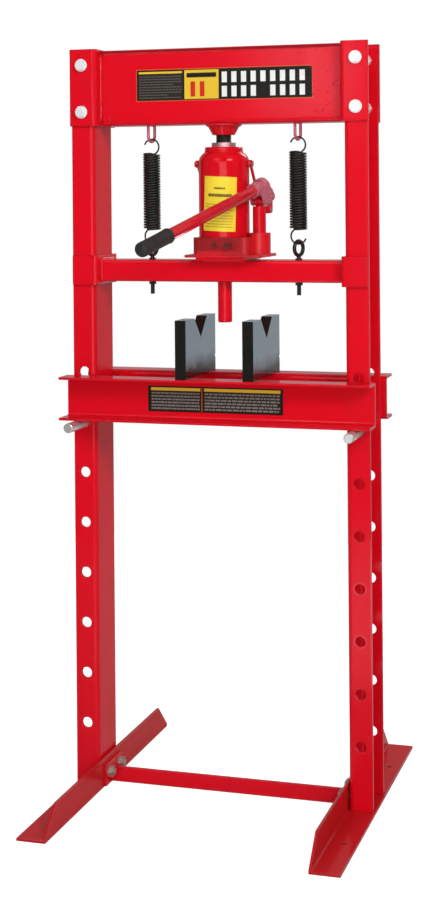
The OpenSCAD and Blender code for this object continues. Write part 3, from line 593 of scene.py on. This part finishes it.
def hook_half(radius, coil_end, hook_centre):
    """Centre line, outward direction and thinning from the end of the coils to the hook's tip: a cubic
    Bezier from the coil's last point to the hook's first, then an arc round the hook's centre."""
    t = np.linspace(0, 1, 16)[1:, None]
    start = np.array([0, -radius, coil_end])
    begin = np.array([radius * math.cos(HOOK_FROM), 0, hook_centre + radius * math.sin(HOOK_FROM)])
    aim = np.array([-math.sin(HOOK_FROM), 0, math.cos(HOOK_FROM)])
    arm = CURVE_ARM * radius
    second, third = start + [arm, 0, 0], begin - arm * aim
    curve = (1 - t) ** 3 * start + 3 * (1 - t) ** 2 * t * second + 3 * (1 - t) * t**2 * third + t**3 * begin
    facing = (1 - t) * [0, -1, 0] + t * [math.cos(HOOK_FROM), 0, math.sin(HOOK_FROM)]
    a = np.linspace(HOOK_FROM, HOOK_TO, 40)[1:, None]
    spoke = np.hstack([np.cos(a), np.zeros_like(a), np.sin(a)])
    arc = spoke * radius + [0, 0, hook_centre]
    thinning = np.concatenate([t[:, 0], np.ones(len(arc))])
    return np.vstack([curve, arc]), unit_rows(np.vstack([facing, spoke])), thinning


def spring_path(low, high):
    """The wire of a spring in a box: its path, outward directions and thickness, and its coils' ends. The
    coils are a helix (r cos a, r sin a, z), and the lower hook is the upper one turned half a turn."""
    radius = (high[0] - low[0] - SPRING_WIRE) / 2
    upper = high[2] - SPRING_WIRE / 2 - radius
    lower = low[2] + SPRING_WIRE / 2 + radius
    top, bottom = upper - HOOK_RISE * radius, lower + HOOK_RISE * radius
    half, facing, thinning = hook_half(radius, top, upper)
    turned = half * [-1, 1, -1] + [0, 0, upper + lower]
    a = -np.pi / 2 - np.linspace(COIL_TURNS, 0, COIL_TURNS * POINTS_PER_TURN + 1) * 2 * np.pi
    spokes = np.column_stack([np.cos(a), np.sin(a), np.zeros_like(a)])
    height = np.linspace(bottom, top, len(a))
    coil = np.column_stack([radius * np.cos(a), radius * np.sin(a), height])
    path = np.vstack([turned[::-1], coil, half])
    outward = np.vstack([(facing * [-1, 1, -1])[::-1], spokes, facing])
    thinning = np.concatenate([thinning[::-1], np.zeros(len(a)), thinning])
    thickness = COIL_WIRE + (SPRING_WIRE - COIL_WIRE) * thinning
    middle = np.array([(low[0] + high[0]) / 2, (low[1] + high[1]) / 2, 0])
    return path + middle, outward, thickness, (top, bottom)


for side in ("left", "right"):
    low, high = corners("spring_" + side)
    path, outward, thickness, (coil_top, coil_bottom) = spring_path(low, high)
    points = tube_points(path, outward, thickness / 2, WIRE_SIDES)
    faces = capped_faces(len(path), WIRE_SIDES)
    spring = add_piece("return_spring_" + side, points, faces, black_steel, None)
    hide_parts("spring_" + side)
    x, y, _ = (low + high) / 2
    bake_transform(spring)
print("coil rise", round((coil_top - coil_bottom) / MM, 1), "mm")

# %% [markdown]
# ## Threads
#
# The screw that stands out of the jack's ram has a coarse rolled thread, and the eyebolts' rods a fine one.
# A thread is a cylinder whose radius follows a wave of height / pitch - angle / turn.

# %% Threads
SCREW_PITCH, SCREW_DEPTH = 3.2 * MM, 1.1 * MM
ROD_PITCH, ROD_DEPTH, ROD_RADIUS = 1.25 * MM, 0.45 * MM, 4.25 * MM


def threaded_rod(low, high, pitch, depth, sides=48, rows_per_pitch=8):
    """Points and faces of an upright threaded rod in a box, with radius = r - depth * wave(z / pitch -
    a / 2 pi), where r is half the box's width and wave is a rounded triangle from 0 to 1."""
    rows = int((high[2] - low[2]) / pitch * rows_per_pitch)
    z = np.linspace(low[2], high[2], rows)
    a = full_turn(sides)
    phase = z[:, None] / pitch - a[None, :] / (2 * np.pi)
    rings = (high[0] - low[0]) / 2 - depth * np.abs((phase % 1.0) * 2 - 1) ** 0.8
    rings[[0, -1]] -= depth
    x, y = (low[:2] + high[:2]) / 2
    path = np.column_stack([np.full(rows, x), np.full(rows, y), z])
    return tube_points(path, (1.0, 0.0, 0.0), rings, sides), capped_faces(rows, sides)


points, faces = threaded_rod(*corners("extension_screw"), SCREW_PITCH, SCREW_DEPTH)
screw = add_piece("screw_thread", points, faces, black_steel, "screw")
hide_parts("extension_screw")

eye_bottom, nut_bottom = corners("eyebolts")[0][2], corners("eyebolt_nuts")[0][2]
spring_x = sum(corners("spring_right"))[0] / 2
for sign, side in ((-1, "left"), (1, "right")):
    low = np.array([sign * spring_x - ROD_RADIUS, -ROD_RADIUS, eye_bottom])
    high = np.array([sign * spring_x + ROD_RADIUS, ROD_RADIUS, nut_bottom + MM])
    points, faces = threaded_rod(low, high, ROD_PITCH, ROD_DEPTH, sides=24, rows_per_pitch=6)
    thread = add_piece("eyebolt_thread_" + side, points, faces, black_steel, "press_bar")

# %% [markdown]
# ## Weld beads
#
# A weld bead is a row of overlapping ripples, one for each pulse of the torch. Here a bead is a tube
# along the seam, half sunk in the plates, whose radius swells and falls as
# r * (1 + 0.16 * |sin(pi * s / p)| + noise), where s is the distance along the seam and p the ripple's
# length. Paint covers it, so it takes the frame's own finish.

# %% Beads
dice = np.random.default_rng(20)
BEAD, RIPPLE = 2.6 * MM, 3.2 * MM
SINK = 0.4 * BEAD
SWELL, UNEVEN = 0.16, 0.05


def resampled(path, step, loop=False):
    """The same path with points at equal steps of its length."""
    path = np.asarray(path, float)
    if loop:
        path = np.vstack([path, path[:1]])
    run = np.concatenate([[0], np.cumsum(np.linalg.norm(np.diff(path, axis=0), axis=1))])
    count = max(int(run[-1] / step), 4)
    s = np.linspace(0, run[-1], count, endpoint=not loop)
    return np.column_stack([np.interp(s, run, path[:, k]) for k in range(3)]), s


def bead_mesh(path, outward, radius=BEAD, loop=False, sides=8):
    """Points and faces of one bead along a path. A loop's bead joins up, and an open one thins at its ends
    with the square root of the distance from the end."""
    path, s = resampled(path, RIPPLE / 4, loop)
    swell = 1 + SWELL * np.abs(np.sin(np.pi * s / RIPPLE)) + UNEVEN * dice.standard_normal(len(s))
    if loop:
        tangent = unit_rows(np.roll(path, -1, 0) - np.roll(path, 1, 0))
        points = tube_points(path, outward, radius * swell, sides, tangent)
        return points.reshape(-1, 3), grid_faces(len(path), sides, loop_rows=True).tolist()
    ends = np.minimum(s, s[-1] - s)
    swell = swell * np.sqrt(np.clip(ends / (2 * radius), 0.05, 1))
    points = tube_points(path, outward, radius * swell, sides)
    return points.reshape(-1, 3), capped_faces(len(path), sides)


def ring_bead(centre, radius, bead, count=96):
    """A bead that hangs from a level circle, round a bar that is welded under a plate."""
    a = full_turn(count)
    circle = np.asarray(centre) + radius * np.column_stack([np.cos(a), np.sin(a), np.zeros_like(a)])
    return bead_mesh(circle, (0, 0, -1), bead, loop=True)


def rounded_box_path(x, low, high, radius, count=8):
    """A rounded rectangle in the plane of one x, from its low and high (y, z) corners."""
    a = np.concatenate([np.linspace(q, q + 0.5, count) for q in (0, 0.5, 1, 1.5)]) * np.pi
    signs = np.repeat([[1, 1], [-1, 1], [-1, -1], [1, -1]], count, axis=0)
    centre, half = (np.asarray(low) + high) / 2, (np.asarray(high) - low) / 2 - radius
    yz = centre + signs * half + radius * np.column_stack([np.cos(a), np.sin(a)])
    return np.column_stack([np.full(len(yz), x), yz])


def bead_piece(name, beads, body):
    """Several beads in one object, in the frame's enamel."""
    starts = np.concatenate([[0], np.cumsum([len(points) for points, _ in beads])])
    faces = [[v + int(start) for v in face] for (_, group), start in zip(beads, starts) for face in group]
    return add_piece(name, np.vstack([points for points, _ in beads]), faces, red_enamel, body)


# %% [markdown]
# The head channel is welded between its two sleeves, along the seam's front, top and bottom. The round
# socket and the spring loops are welded under it.

# %% Seams of the head
SEAM_END, CORNER, BACK_END = 8 * MM, 5.5 * MM, 4 * MM
head_seam = head_high[0]
head_beads = []
for sign in (-1, 1):
    x, y = sign * (head_seam - SINK), head_low[1] - SINK
    line = [[x, y, head_low[2] + SEAM_END], [x, y, head_high[2] - SEAM_END]]
    head_beads.append(bead_mesh(line, (-sign, -1, 0)))
    for z in (head_low[2] + CORNER, head_high[2] - CORNER):
        line = [[x, head_low[1] + 10 * MM, z], [x, head_high[1] - BACK_END, z]]
        head_beads.append(bead_mesh(line, (-sign, 0, 1)))
socket_low, socket_high = corners("jack_socket")
socket_radius = (socket_high[0] - socket_low[0]) / 2
under = head_low[2] - 0.5 * MM
head_beads.append(ring_bead((0, 0, under), socket_radius + 0.4 * MM, 2 * MM))
loop_low, loop_high = corners("spring_loops")
for sign in (-1, 1):
    for y in (loop_low[1] + 3 * MM, loop_high[1] - 3 * MM):
        head_beads.append(ring_bead((sign * spring_x, y, head_low[2]), 3.4 * MM, 1.3 * MM, 32))
bead_piece("head_welds", head_beads, "frame")

# %% [markdown]
# The press bar is welded all round between its sleeves. Its jack seat has a bead along each side, and the
# ram a ring of weld under the bar.

# %% Seams of the press bar
bar_beads = []
guide_x = corners("guide_sleeve_right")[0][0]
box_low, box_high = bar_low[1:] - 0.4 * MM, bar_high[1:] + 0.4 * MM
for sign in (-1, 1):
    around = rounded_box_path(sign * (guide_x - SINK), box_low, box_high, 5 * MM)
    bar_beads.append(bead_mesh(around, (-sign, 0, 0), loop=True))
seat_low, seat_high = corners("jack_seat")
for sign in (-1, 1):
    y, z = sign * (bar_high[1] - 1.5 * MM), bar_high[2] - 1.2 * MM
    line = [[seat_low[0] + 4 * MM, y, z], [seat_high[0] - 4 * MM, y, z]]
    bar_beads.append(bead_mesh(line, (0, sign, -1), 2.2 * MM))
ram_radius = corners("press_ram")[1][0]
bar_beads.append(ring_bead((0, 0, bar_low[2]), ram_radius + 0.3 * MM, 2 * MM))
bead_piece("press_bar_welds", bar_beads, "press_bar")

# %% [markdown]
# The tie bar is welded to its end plates, and the bed's spacers to both channels, in short upright beads.

# %% Seams of the tie bar and the bed
TIE_HALF, TIE_PLATE, TIE_HEIGHT, SPACER = 2.5 * MM, 5 * MM, 30 * MM, 6 * MM
QUARTERS = [(sign, face) for sign in (-1, 1) for face in (-1, 1)]
tie_low, tie_high = corners("tie_bar")
tie_middle = (tie_low[1] + tie_high[1]) / 2
spacer_low, spacer_high = corners("bed_spacers")
tie_beads, bed_beads = [], []
for sign, face in QUARTERS:
    x, y = sign * (tie_high[0] - TIE_PLATE - SINK), tie_middle + face * (TIE_HALF + SINK)
    line = [[x, y, tie_low[2] + 4 * MM], [x, y, tie_low[2] + TIE_HEIGHT - MM]]
    tie_beads.append(bead_mesh(line, (-sign, face, 0)))
for sign, face in QUARTERS:
    for out, edge in ((1, spacer_high[0]), (-1, spacer_high[0] - SPACER)):
        x, y = sign * (edge + out * SINK), face * (spacer_high[1] - SINK)
        line = [[x, y, spacer_low[2] + 3 * MM], [x, y, spacer_high[2] - 3 * MM]]
        bed_beads.append(bead_mesh(line, (sign * out, -face, 0)))
bead_piece("tie_bar_welds", tie_beads, "frame")
bead_piece("bed_welds", bed_beads, "bed")

# %% [markdown]
# ## Spatter
#
# Welding throws droplets that freeze on the plate as tiny domes and stay under the paint. Each dome is
# the same small cap of a sphere, copied by adding every place to every point of the cap in one array.

# %% Droplets
BORDER, LARGEST_DROP = 8 * MM, 1.9 * MM


def dome(sides=7, rows=3):
    """A unit half sphere: rings at equal angles from the rim to the pole, and the pole itself."""
    tilt = np.linspace(0, np.pi / 2, rows, endpoint=False)[:, None]
    turn = full_turn(sides)[None, :]
    shell = [np.cos(tilt) * np.cos(turn), np.cos(tilt) * np.sin(turn), np.sin(tilt) + 0 * turn]
    last = (rows - 1) * sides + np.arange(sides)
    tip = np.stack([last, np.roll(last, -1), np.full(sides, rows * sides)], -1)
    faces = [*grid_faces(rows, sides).tolist(), *tip.tolist(), list(range(sides))[::-1]]
    return np.vstack([np.stack(shell, -1).reshape(-1, 3), [[0, 0, 1]]]), faces


def droplets(name, centres, sizes, body):
    """Domes of these sizes on a plane that faces the front, in one object."""
    cap, faces = dome()
    local = cap @ np.array([(1, 0, 0), (0, 0, 1), (0, -1, 0)], float)
    points = centres[:, None] + sizes[:, None, None] * local[None]
    copies = [[v + k * len(cap) for v in face] for k in range(len(centres)) for face in faces]
    return add_piece(name, points, copies, red_enamel, body)


def scattered(count, width, height, crowding):
    """Places in a rectangle, denser near its first edge with crowding > 1, and mostly small sizes."""
    places = dice.random((count, 2)) ** [crowding, 1] * [width, height]
    return places[:, 0], places[:, 1], 0.25 + 0.75 * dice.random(count) ** 3


room = head_high[2] - head_low[2] - 2 * BORDER
for sign, side, count, reach, crowding in ((-1, "left", 60, 35 * MM, 2.6), (1, "right", 130, 85 * MM, 1)):
    across, up, sizes = scattered(count, reach, room, crowding)
    x, z = sign * (head_seam - 4 * MM - across), head_low[2] + BORDER + up
    centres = np.column_stack([x, np.full(count, head_low[1]), z])
    spatter = droplets("head_spatter_" + side, centres, LARGEST_DROP * sizes, "frame")

# %% [markdown]
# ## The grip
#
# The grip is a moulded sleeve: a slight waist, a rolled rim at its mouth, a domed end, and shallow
# flutes. It is a surface of revolution whose radius also waves with the angle, r(s) - depth * flute(a).
# The lever's own direction is the longest one of the handle tube's points.

# %% Lever axis


def mesh_points(name):
    """The points of a CAD node's mesh, one to a row."""
    vertices = frame["nodes"][name].data.vertices
    points = np.empty(len(vertices) * 3)
    vertices.foreach_get("co", points)
    return points.reshape(-1, 3)


joints = frame["record"]["behaviour"]["joints"]
hinge = np.array([joint["axis"] for joint in joints if joint["name"] == "lever_swing"][0])
tube, sleeve = mesh_points("handle_tube"), mesh_points("handle_grip")
lever = np.linalg.svd(tube - tube.mean(0), full_matrices=False)[2][0]
lever = lever * np.sign(lever @ (sleeve.mean(0) - tube.mean(0)))
print("lever points towards", lever.round(4), "tube", round(np.ptp(tube @ lever) / MM, 1), "mm")

# %% Grip
FLUTES, FLUTE_DEPTH, GRIP_SIDES = 20, 0.35 * MM, 80
along = (sleeve - sleeve.mean(0)) @ lever
mouth = sleeve.mean(0) + along.min() * lever
grip_length = along.max() - along.min()
from_axis = sleeve - mouth - np.outer((sleeve - mouth) @ lever, lever)
aside = (from_axis[np.abs(along - along.min()) < 2 * MM]).mean(0)
mouth = mouth + aside
grip_radius = np.linalg.norm(from_axis - aside, axis=1).max()
print("grip", (grip_length / MM).round(1), "long", (grip_radius * 2 / MM).round(1), "across")


def grip_surface(start, direction, length, radius):
    """Points and faces of the sleeve. Its radius goes by the distance s along it, from 0 to 1: a rolled
    rim is a bell round s = 0.03, the waist dips 2% as sin(pi * s), and the end closes beyond s = 0.9. The
    flutes, depth * (1 - cos(20 a)) / 2, fade in at s = 0.14 and out at 0.84."""
    domed = 1 - 0.07 * np.cos(np.linspace(0.15, 1, 12) * np.pi / 2)
    s = np.concatenate([np.linspace(0, 0.08, 10), np.linspace(0.09, 0.93, 60), domed])
    rim = 0.05 * np.exp(-(((s - 0.03) / 0.022) ** 2))
    waist = 0.955 - 0.02 * np.sin(np.pi * np.clip(s, 0, 1)) + rim
    end = np.sqrt(np.clip(1 - ((s - 0.9) / 0.1).clip(0) ** 2.4, 0, 1))
    profile = radius * waist * np.where(s > 0.9, 0.25 + 0.75 * end, 1)
    flute = 0.5 - 0.5 * np.cos(FLUTES * full_turn(GRIP_SIDES))
    window = np.clip((s - 0.14) / 0.05, 0, 1) * np.clip((0.84 - s) / 0.05, 0, 1)
    rings = profile[:, None] - FLUTE_DEPTH * flute[None] * window[:, None]
    path = np.asarray(start) + (s * length)[:, None] * direction
    tangent = np.broadcast_to(direction, path.shape)
    points = tube_points(path, np.cross(direction, hinge), rings, GRIP_SIDES, tangent)
    return points, capped_faces(len(path), GRIP_SIDES)


points, faces = grip_surface(mouth, lever, grip_length, grip_radius)
grip = add_piece("moulded_grip", points, faces, grip_rubber, "lever")
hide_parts("handle_grip")

# %% [markdown]
# ## Labels
#
# The press carries three printed stickers. They are plain here: fields of colour, rules and rows of
# short dashes stand where print would be. A sticker is a list of rectangles, each with an ink colour and
# a layer. A rectangle becomes a strip of small faces, so that it can also follow the jack's round tank,
# and the ink is stored on its points as a colour attribute that the material reads. The jack's label went
# on a little askew, so its coordinates are turned before they are wrapped round the tank.

# %% Sticker material
STICKER_DUST = (0.5, 0.47, 0.42)
sticker, tree, shader = new_material("sticker")
ink = add_node(tree, "Attribute", attribute_name="ink")["Color"]
place = add_node(tree, "TexCoord")["Object"]
spots = group_node(patch_group, place, patch_size=30 * MM)
faded = mix_colours(times(spots["Fine"], 0.015), ink, STICKER_DUST)
gloss = plus(times(spots["Patch"], 0.12), 0.3)
feed(shader, {"Base Color": faded, "Roughness": gloss, "Specular IOR Level": 0.15})
print("material", sticker.name)

# %% Sticker builder
BLACK, WHITE, YELLOW = (0.008, 0.007, 0.006), (0.80, 0.80, 0.78), (0.76, 0.50, 0.03)
ORANGE, GREY, RED = (0.62, 0.10, 0.02), (0.22, 0.21, 0.19), (0.60, 0.02, 0.01)
LEMON, AMBER, SOOT = (0.88, 0.66, 0.04), (0.80, 0.42, 0.06), (0.020, 0.018, 0.014)
DIM_INK, BROWN_INK, OCHRE_INK = (0.105, 0.09, 0.085), (0.10, 0.07, 0.02), (0.45, 0.28, 0.03)
FILM = 0.15 * MM


def rows_of_dashes(x0, y0, x1, y1, rows, colour, thickness=0.5, layer=2):
    """Rows of short dashes of uneven length, as rectangles (x0, y0, x1, y1, colour, layer)."""
    made, pitch, span = [], (y1 - y0) / rows, x1 - x0
    for k in range(rows):
        x, y = x0, y1 - (k + 0.75) * pitch
        end = x1 - span * (0.35 if k % 4 == 3 else 0.02) * dice.random()
        while x < end - 0.004 * span:
            width = min((0.02 + 0.06 * dice.random()) * span, end - x)
            made.append((x, y, x + width, y + thickness * pitch, colour, layer))
            x += width + 0.012 * span
    return made


def flat_place(left, front, bottom):
    """Puts label coordinates on an upright plane that faces the front, raised off it towards -Y."""

    def placer(x, y, raised):
        return np.stack([left + x, front - raised, bottom + y], -1)

    return placer


def round_place(centre, radius, start):
    """Wraps label coordinates round an upright cylinder, x along the arc from the front."""

    def placer(x, y, raised):
        turn, reach = start + x / radius, radius + raised
        round_x, round_y = centre[0] + reach * np.sin(turn), centre[1] - reach * np.cos(turn)
        return np.stack([round_x, round_y, centre[2] + y], -1)

    return placer


def askew(placer, pivot, degrees):
    """Turns label coordinates clockwise about a pivot before another placer puts them in space."""
    c, s = math.cos(math.radians(degrees)), math.sin(math.radians(degrees))

    def turned(x, y, raised):
        across, up = x - pivot[0], y - pivot[1]
        return placer(pivot[0] + c * across + s * up, pivot[1] + c * up - s * across, raised)

    return turned


def make_sticker(name, fields, placer, body, columns=1):
    """One object from all the rectangles, each a strip of faces that the placer puts in space."""
    table = np.array([[x0, y0, x1, y1, layer] for x0, y0, x1, y1, _, layer in fields])
    t = np.linspace(0, 1, columns + 1)
    x = table[:, 0:1] + (table[:, 2:3] - table[:, 0:1]) * t
    x = np.stack([x, x], 1)
    y = np.broadcast_to(table[:, [1, 3]][..., None], x.shape)
    raised = np.broadcast_to((table[:, 4] * FILM)[:, None, None], x.shape)
    strip = grid_faces(2, columns + 1, loop_columns=False)
    faces = (strip[None] + (np.arange(len(table)) * 2 * (columns + 1))[:, None, None]).reshape(-1, 4)
    piece = add_piece(name, placer(x, y, raised), faces.tolist(), sticker, body, smooth=False)
    inks = np.repeat(np.array([[*colour, 1.0] for *_, colour, _ in fields]), 2 * (columns + 1), axis=0)
    attribute = piece.data.color_attributes.new("ink", "FLOAT_COLOR", "POINT")
    attribute.data.foreach_set("color", inks.ravel())
    return piece


# %% Head sticker
HEAD_LABEL = (-172 * MM, 1365.5 * MM, 190 * MM, 1429 * MM)
BLOCKS = 9
width, height = HEAD_LABEL[2] - HEAD_LABEL[0], HEAD_LABEL[3] - HEAD_LABEL[1]
edge = 1.6 * MM
first, second = 0.275 * width, 0.475 * width
fields = [
    (0, 0, width, height, ORANGE, 1),
    (edge, edge, width - edge, height - edge, BLACK, 2),
    (3.5 * edge, height - 9 * MM, first - 2 * edge, height - 3 * edge, YELLOW, 3),
    (3 * edge, 2 * edge, first - edge, height - 11 * MM, SOOT, 3),
    (first + edge, 2 * edge, second, height - 2 * edge, YELLOW, 3),
    (first + 4 * edge, height - 18 * MM, second - 3 * edge, height - 9 * MM, BLACK, 4),
    (first + 9 * edge, 5 * edge, first + 15 * edge, height - 26 * MM, RED, 4),
    (first + 21 * edge, 5 * edge, first + 27 * edge, height - 26 * MM, RED, 4),
]
fields += rows_of_dashes(4 * edge, 3 * edge, first - 2 * edge, height - 12 * MM, 9, DIM_INK, 0.4, 4)
room = width - second - 8 * edge
for low_edge, skipped in ((0.10, 4), (0.54, None)):
    for k in range(BLOCKS):
        if k != skipped:
            x0 = second + 4 * edge + room * k / BLOCKS
            x1, y0, y1 = x0 + 0.54 * room / BLOCKS, low_edge * height, (low_edge + 0.33) * height
            fields.append((x0, y0, x1, y1, WHITE, 3))
make_sticker("head_sticker", fields, flat_place(HEAD_LABEL[0], head_low[1], HEAD_LABEL[1]), "frame")

# %% Bed sticker
BED_LABEL = (-142.6 * MM, 755 * MM, 132.6 * MM, 805.5 * MM)
WEB = 5 * MM
bed_web = corners("bed_channel_front")[1][1] - WEB
width, height = BED_LABEL[2] - BED_LABEL[0], BED_LABEL[3] - BED_LABEL[1]
split = 110.9 * MM
fields = [(0, 0, width, height, BLACK, 1)]
for x0, x1 in ((6 * MM, split - 3 * MM), (split + 5 * MM, width - 5 * MM)):
    fields.append((x0, height - 9 * MM, x1, height - 3 * MM, YELLOW, 2))
    fields.append((x0, 3 * MM, x1, height - 10 * MM, SOOT, 2))
    fields += rows_of_dashes(x0 + MM, 3.5 * MM, x1 - MM, height - 11 * MM, 6, GREY, 0.5, 3)
fields.append((split - 0.6 * MM, 2 * MM, split + 1.2 * MM, height - 2 * MM, ORANGE, 3))
make_sticker("bed_sticker", fields, flat_place(BED_LABEL[0], bed_web, BED_LABEL[1]), "bed")

# %% Jack sticker
JACK_LABEL = (1110 * MM, 1217 * MM)
LABEL_TILT = 2.6
tank_radius = (tank_high[0] - tank_low[0]) / 2
label_start = math.asin(-28 * MM / tank_radius)
width = (math.asin(35.5 * MM / tank_radius) - label_start) * tank_radius
height = JACK_LABEL[1] - JACK_LABEL[0]
fields = [(0, 0, width, height, AMBER, 1)]
fields.append((0.8 * MM, 0.6 * MM, width - 0.8 * MM, height - 0.6 * MM, LEMON, 2))
for x0, y0, x1, y1, rows, colour, thickness in (
    (0.16, 0.60, 0.86, 0.72, 1, BROWN_INK, 0.45),
    (0.34, 0.75, 0.66, 0.83, 1, BROWN_INK, 0.4),
    (0.08, 0.06, 0.92, 0.52, 9, OCHRE_INK, 0.35),
):
    place = (x0 * width, y0 * height, x1 * width, y1 * height)
    fields += rows_of_dashes(*place, rows, colour, thickness, 3)
wrapped = round_place((0, 0, JACK_LABEL[0]), tank_radius, label_start)
placer = askew(wrapped, (0, height / 2), LABEL_TILT)
make_sticker("jack_sticker", fields, placer, "press_bar", columns=28)

# %% [markdown]
# ## Studio
#
# The press stands on a plain pale floor in a white studio. Gloss paint mirrors what is round it, so the
# room is made in two parts. The world lights the press softly and evenly, the camera sees it white, and
# the paint sees it at part strength, brighter behind the press than in front, so that the red stays deep.
# Large soft lamps give each side its light: a high key on the left, a broad low front lamp, a back lamp
# and a fill on the right, where no flat front face mirrors them towards the camera. Three small ones add
# a glint on the head, a rim along the lever and a pale card near the floor. The floor glows a little, so
# that it shows as white and still keeps the press's shadow.

# %% World
world = bpy.data.worlds.new("studio")
world.use_nodes = True
bpy.context.scene.world = world
tree = world.node_tree
tree.nodes.clear()
output = tree.nodes.new("ShaderNodeOutputWorld")
direction = split_axes(add_node(tree, "TexCoord")["Generated"])
rays = add_node(tree, "LightPath")
mirrored = plus(times(ramp_node(direction["Y"], -0.9, 0.3), 0.38), 0.03)
mirrored = times(mirrored, rays["Is Glossy Ray"])
even = times(math_node("SUBTRACT", 1.0, rays["Is Glossy Ray"]), 0.36)
strength = plus(even, mirrored)
around = add_node(tree, "Background", {"Color": (0.96, 0.98, 1.0, 1.0), "Strength": strength})
shown = add_node(tree, "Background", {"Color": (1.0, 1.0, 1.0, 1.0), "Strength": 1.0})
seen = math_node("MAXIMUM", rays["Is Camera Ray"], rays["Is Transmission Ray"])
mixed = add_node(tree, "MixShader", {0: seen, 1: around[0], 2: shown[0]})
feed(output, {"Surface": mixed[0]})
print("world", world.name)

# %% Lamps


def area_lamp(name, place, target, size, power, spread=180):
    """A soft lamp at a place, aimed at a target; a small spread keeps its light in a beam."""
    data = bpy.data.lights.new(name, "AREA")
    data.shape = "RECTANGLE"
    data.size, data.size_y = size
    data.energy = power
    data.spread = math.radians(spread)
    lamp = bpy.data.objects.new(name, data)
    back = unit_rows(np.asarray(place, float) - target)
    right = unit_rows(np.cross([0, 1, 0] if abs(back[2]) > 0.99 else [0, 0, 1], back))
    put(lamp, np.column_stack([right, np.cross(back, right), back]), place)
    lamp.visible_camera = False


MIDDLE = (0.0, 0.0, 0.75)
area_lamp("key", (-1.0, -3.2, 2.9), MIDDLE, (1.7, 1.5), 18.5)
area_lamp("front", (0.9, -3.9, 0.8), (0.0, 0.0, 0.65), (2.3, 1.5), 39)
area_lamp("back", (1.0, 3.0, 3.0), MIDDLE, (1.2, 1.2), 26)
area_lamp("rim", (0.45, 1.5, 0.22), (-0.02, -0.36, 1.05), (0.7, 0.35), 0.05, spread=16)
area_lamp("fill", (2.4, -2.4, 2.9), (0.0, 0.0, 1.15), (1.3, 1.3), 10, spread=62)
area_lamp("glint", (-0.594, -3.04, 1.63), (0.18, 0.0, 1.41), (0.26, 0.30), 2.6)
area_lamp("card", (-0.05, -1.5, 0.02), (-0.05, -1.5, 2.0), (0.4, 1.5), 4)
print("lamps", len(bpy.data.lights))

# %% Floor
FLOOR_REACH = 2.2
floor_paint, tree, shader = new_material("pale_floor")
pale = {"Base Color": (0.55, 0.55, 0.55, 1.0), "Roughness": 0.9, "Specular IOR Level": 0.0}
feed(shader, pale)
rays = add_node(tree, "LightPath")
seen = math_node("MAXIMUM", rays["Is Camera Ray"], rays["Is Transmission Ray"])
lit = plus(times(seen, 0.85), times(rays["Is Glossy Ray"], 0.1))
glow = add_node(tree, "Emission", {"Strength": lit})
both = add_node(tree, "AddShader", {0: shader.outputs[0], 1: glow[0]})
feed(tree.nodes["Material Output"], {"Surface": both[0]})
points = np.array([[-1, -1, 0], [1, -1, 0], [1, 1, 0], [-1, 1, 0]]) * FLOOR_REACH
floor = add_piece("floor", points, [[0, 1, 2, 3]], floor_paint, None, smooth=False)
floor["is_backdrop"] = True

# %% [markdown]
# ## Finish
#
# The view transform is Standard, so a colour shows as it was chosen. The two boxes, of the CAD model and
# of the dressed one, are kept side by side: the dressing should add nothing to the machine's size.

# %% Sizes
bpy.context.scene.view_settings.view_transform = "Standard"
now_low, now_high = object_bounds()
pairs = zip((*now_low, *now_high), (*cad_low, *cad_high))
print("grown by", [round(float(now - cad) / MM, 2) for now, cad in pairs], "mm")
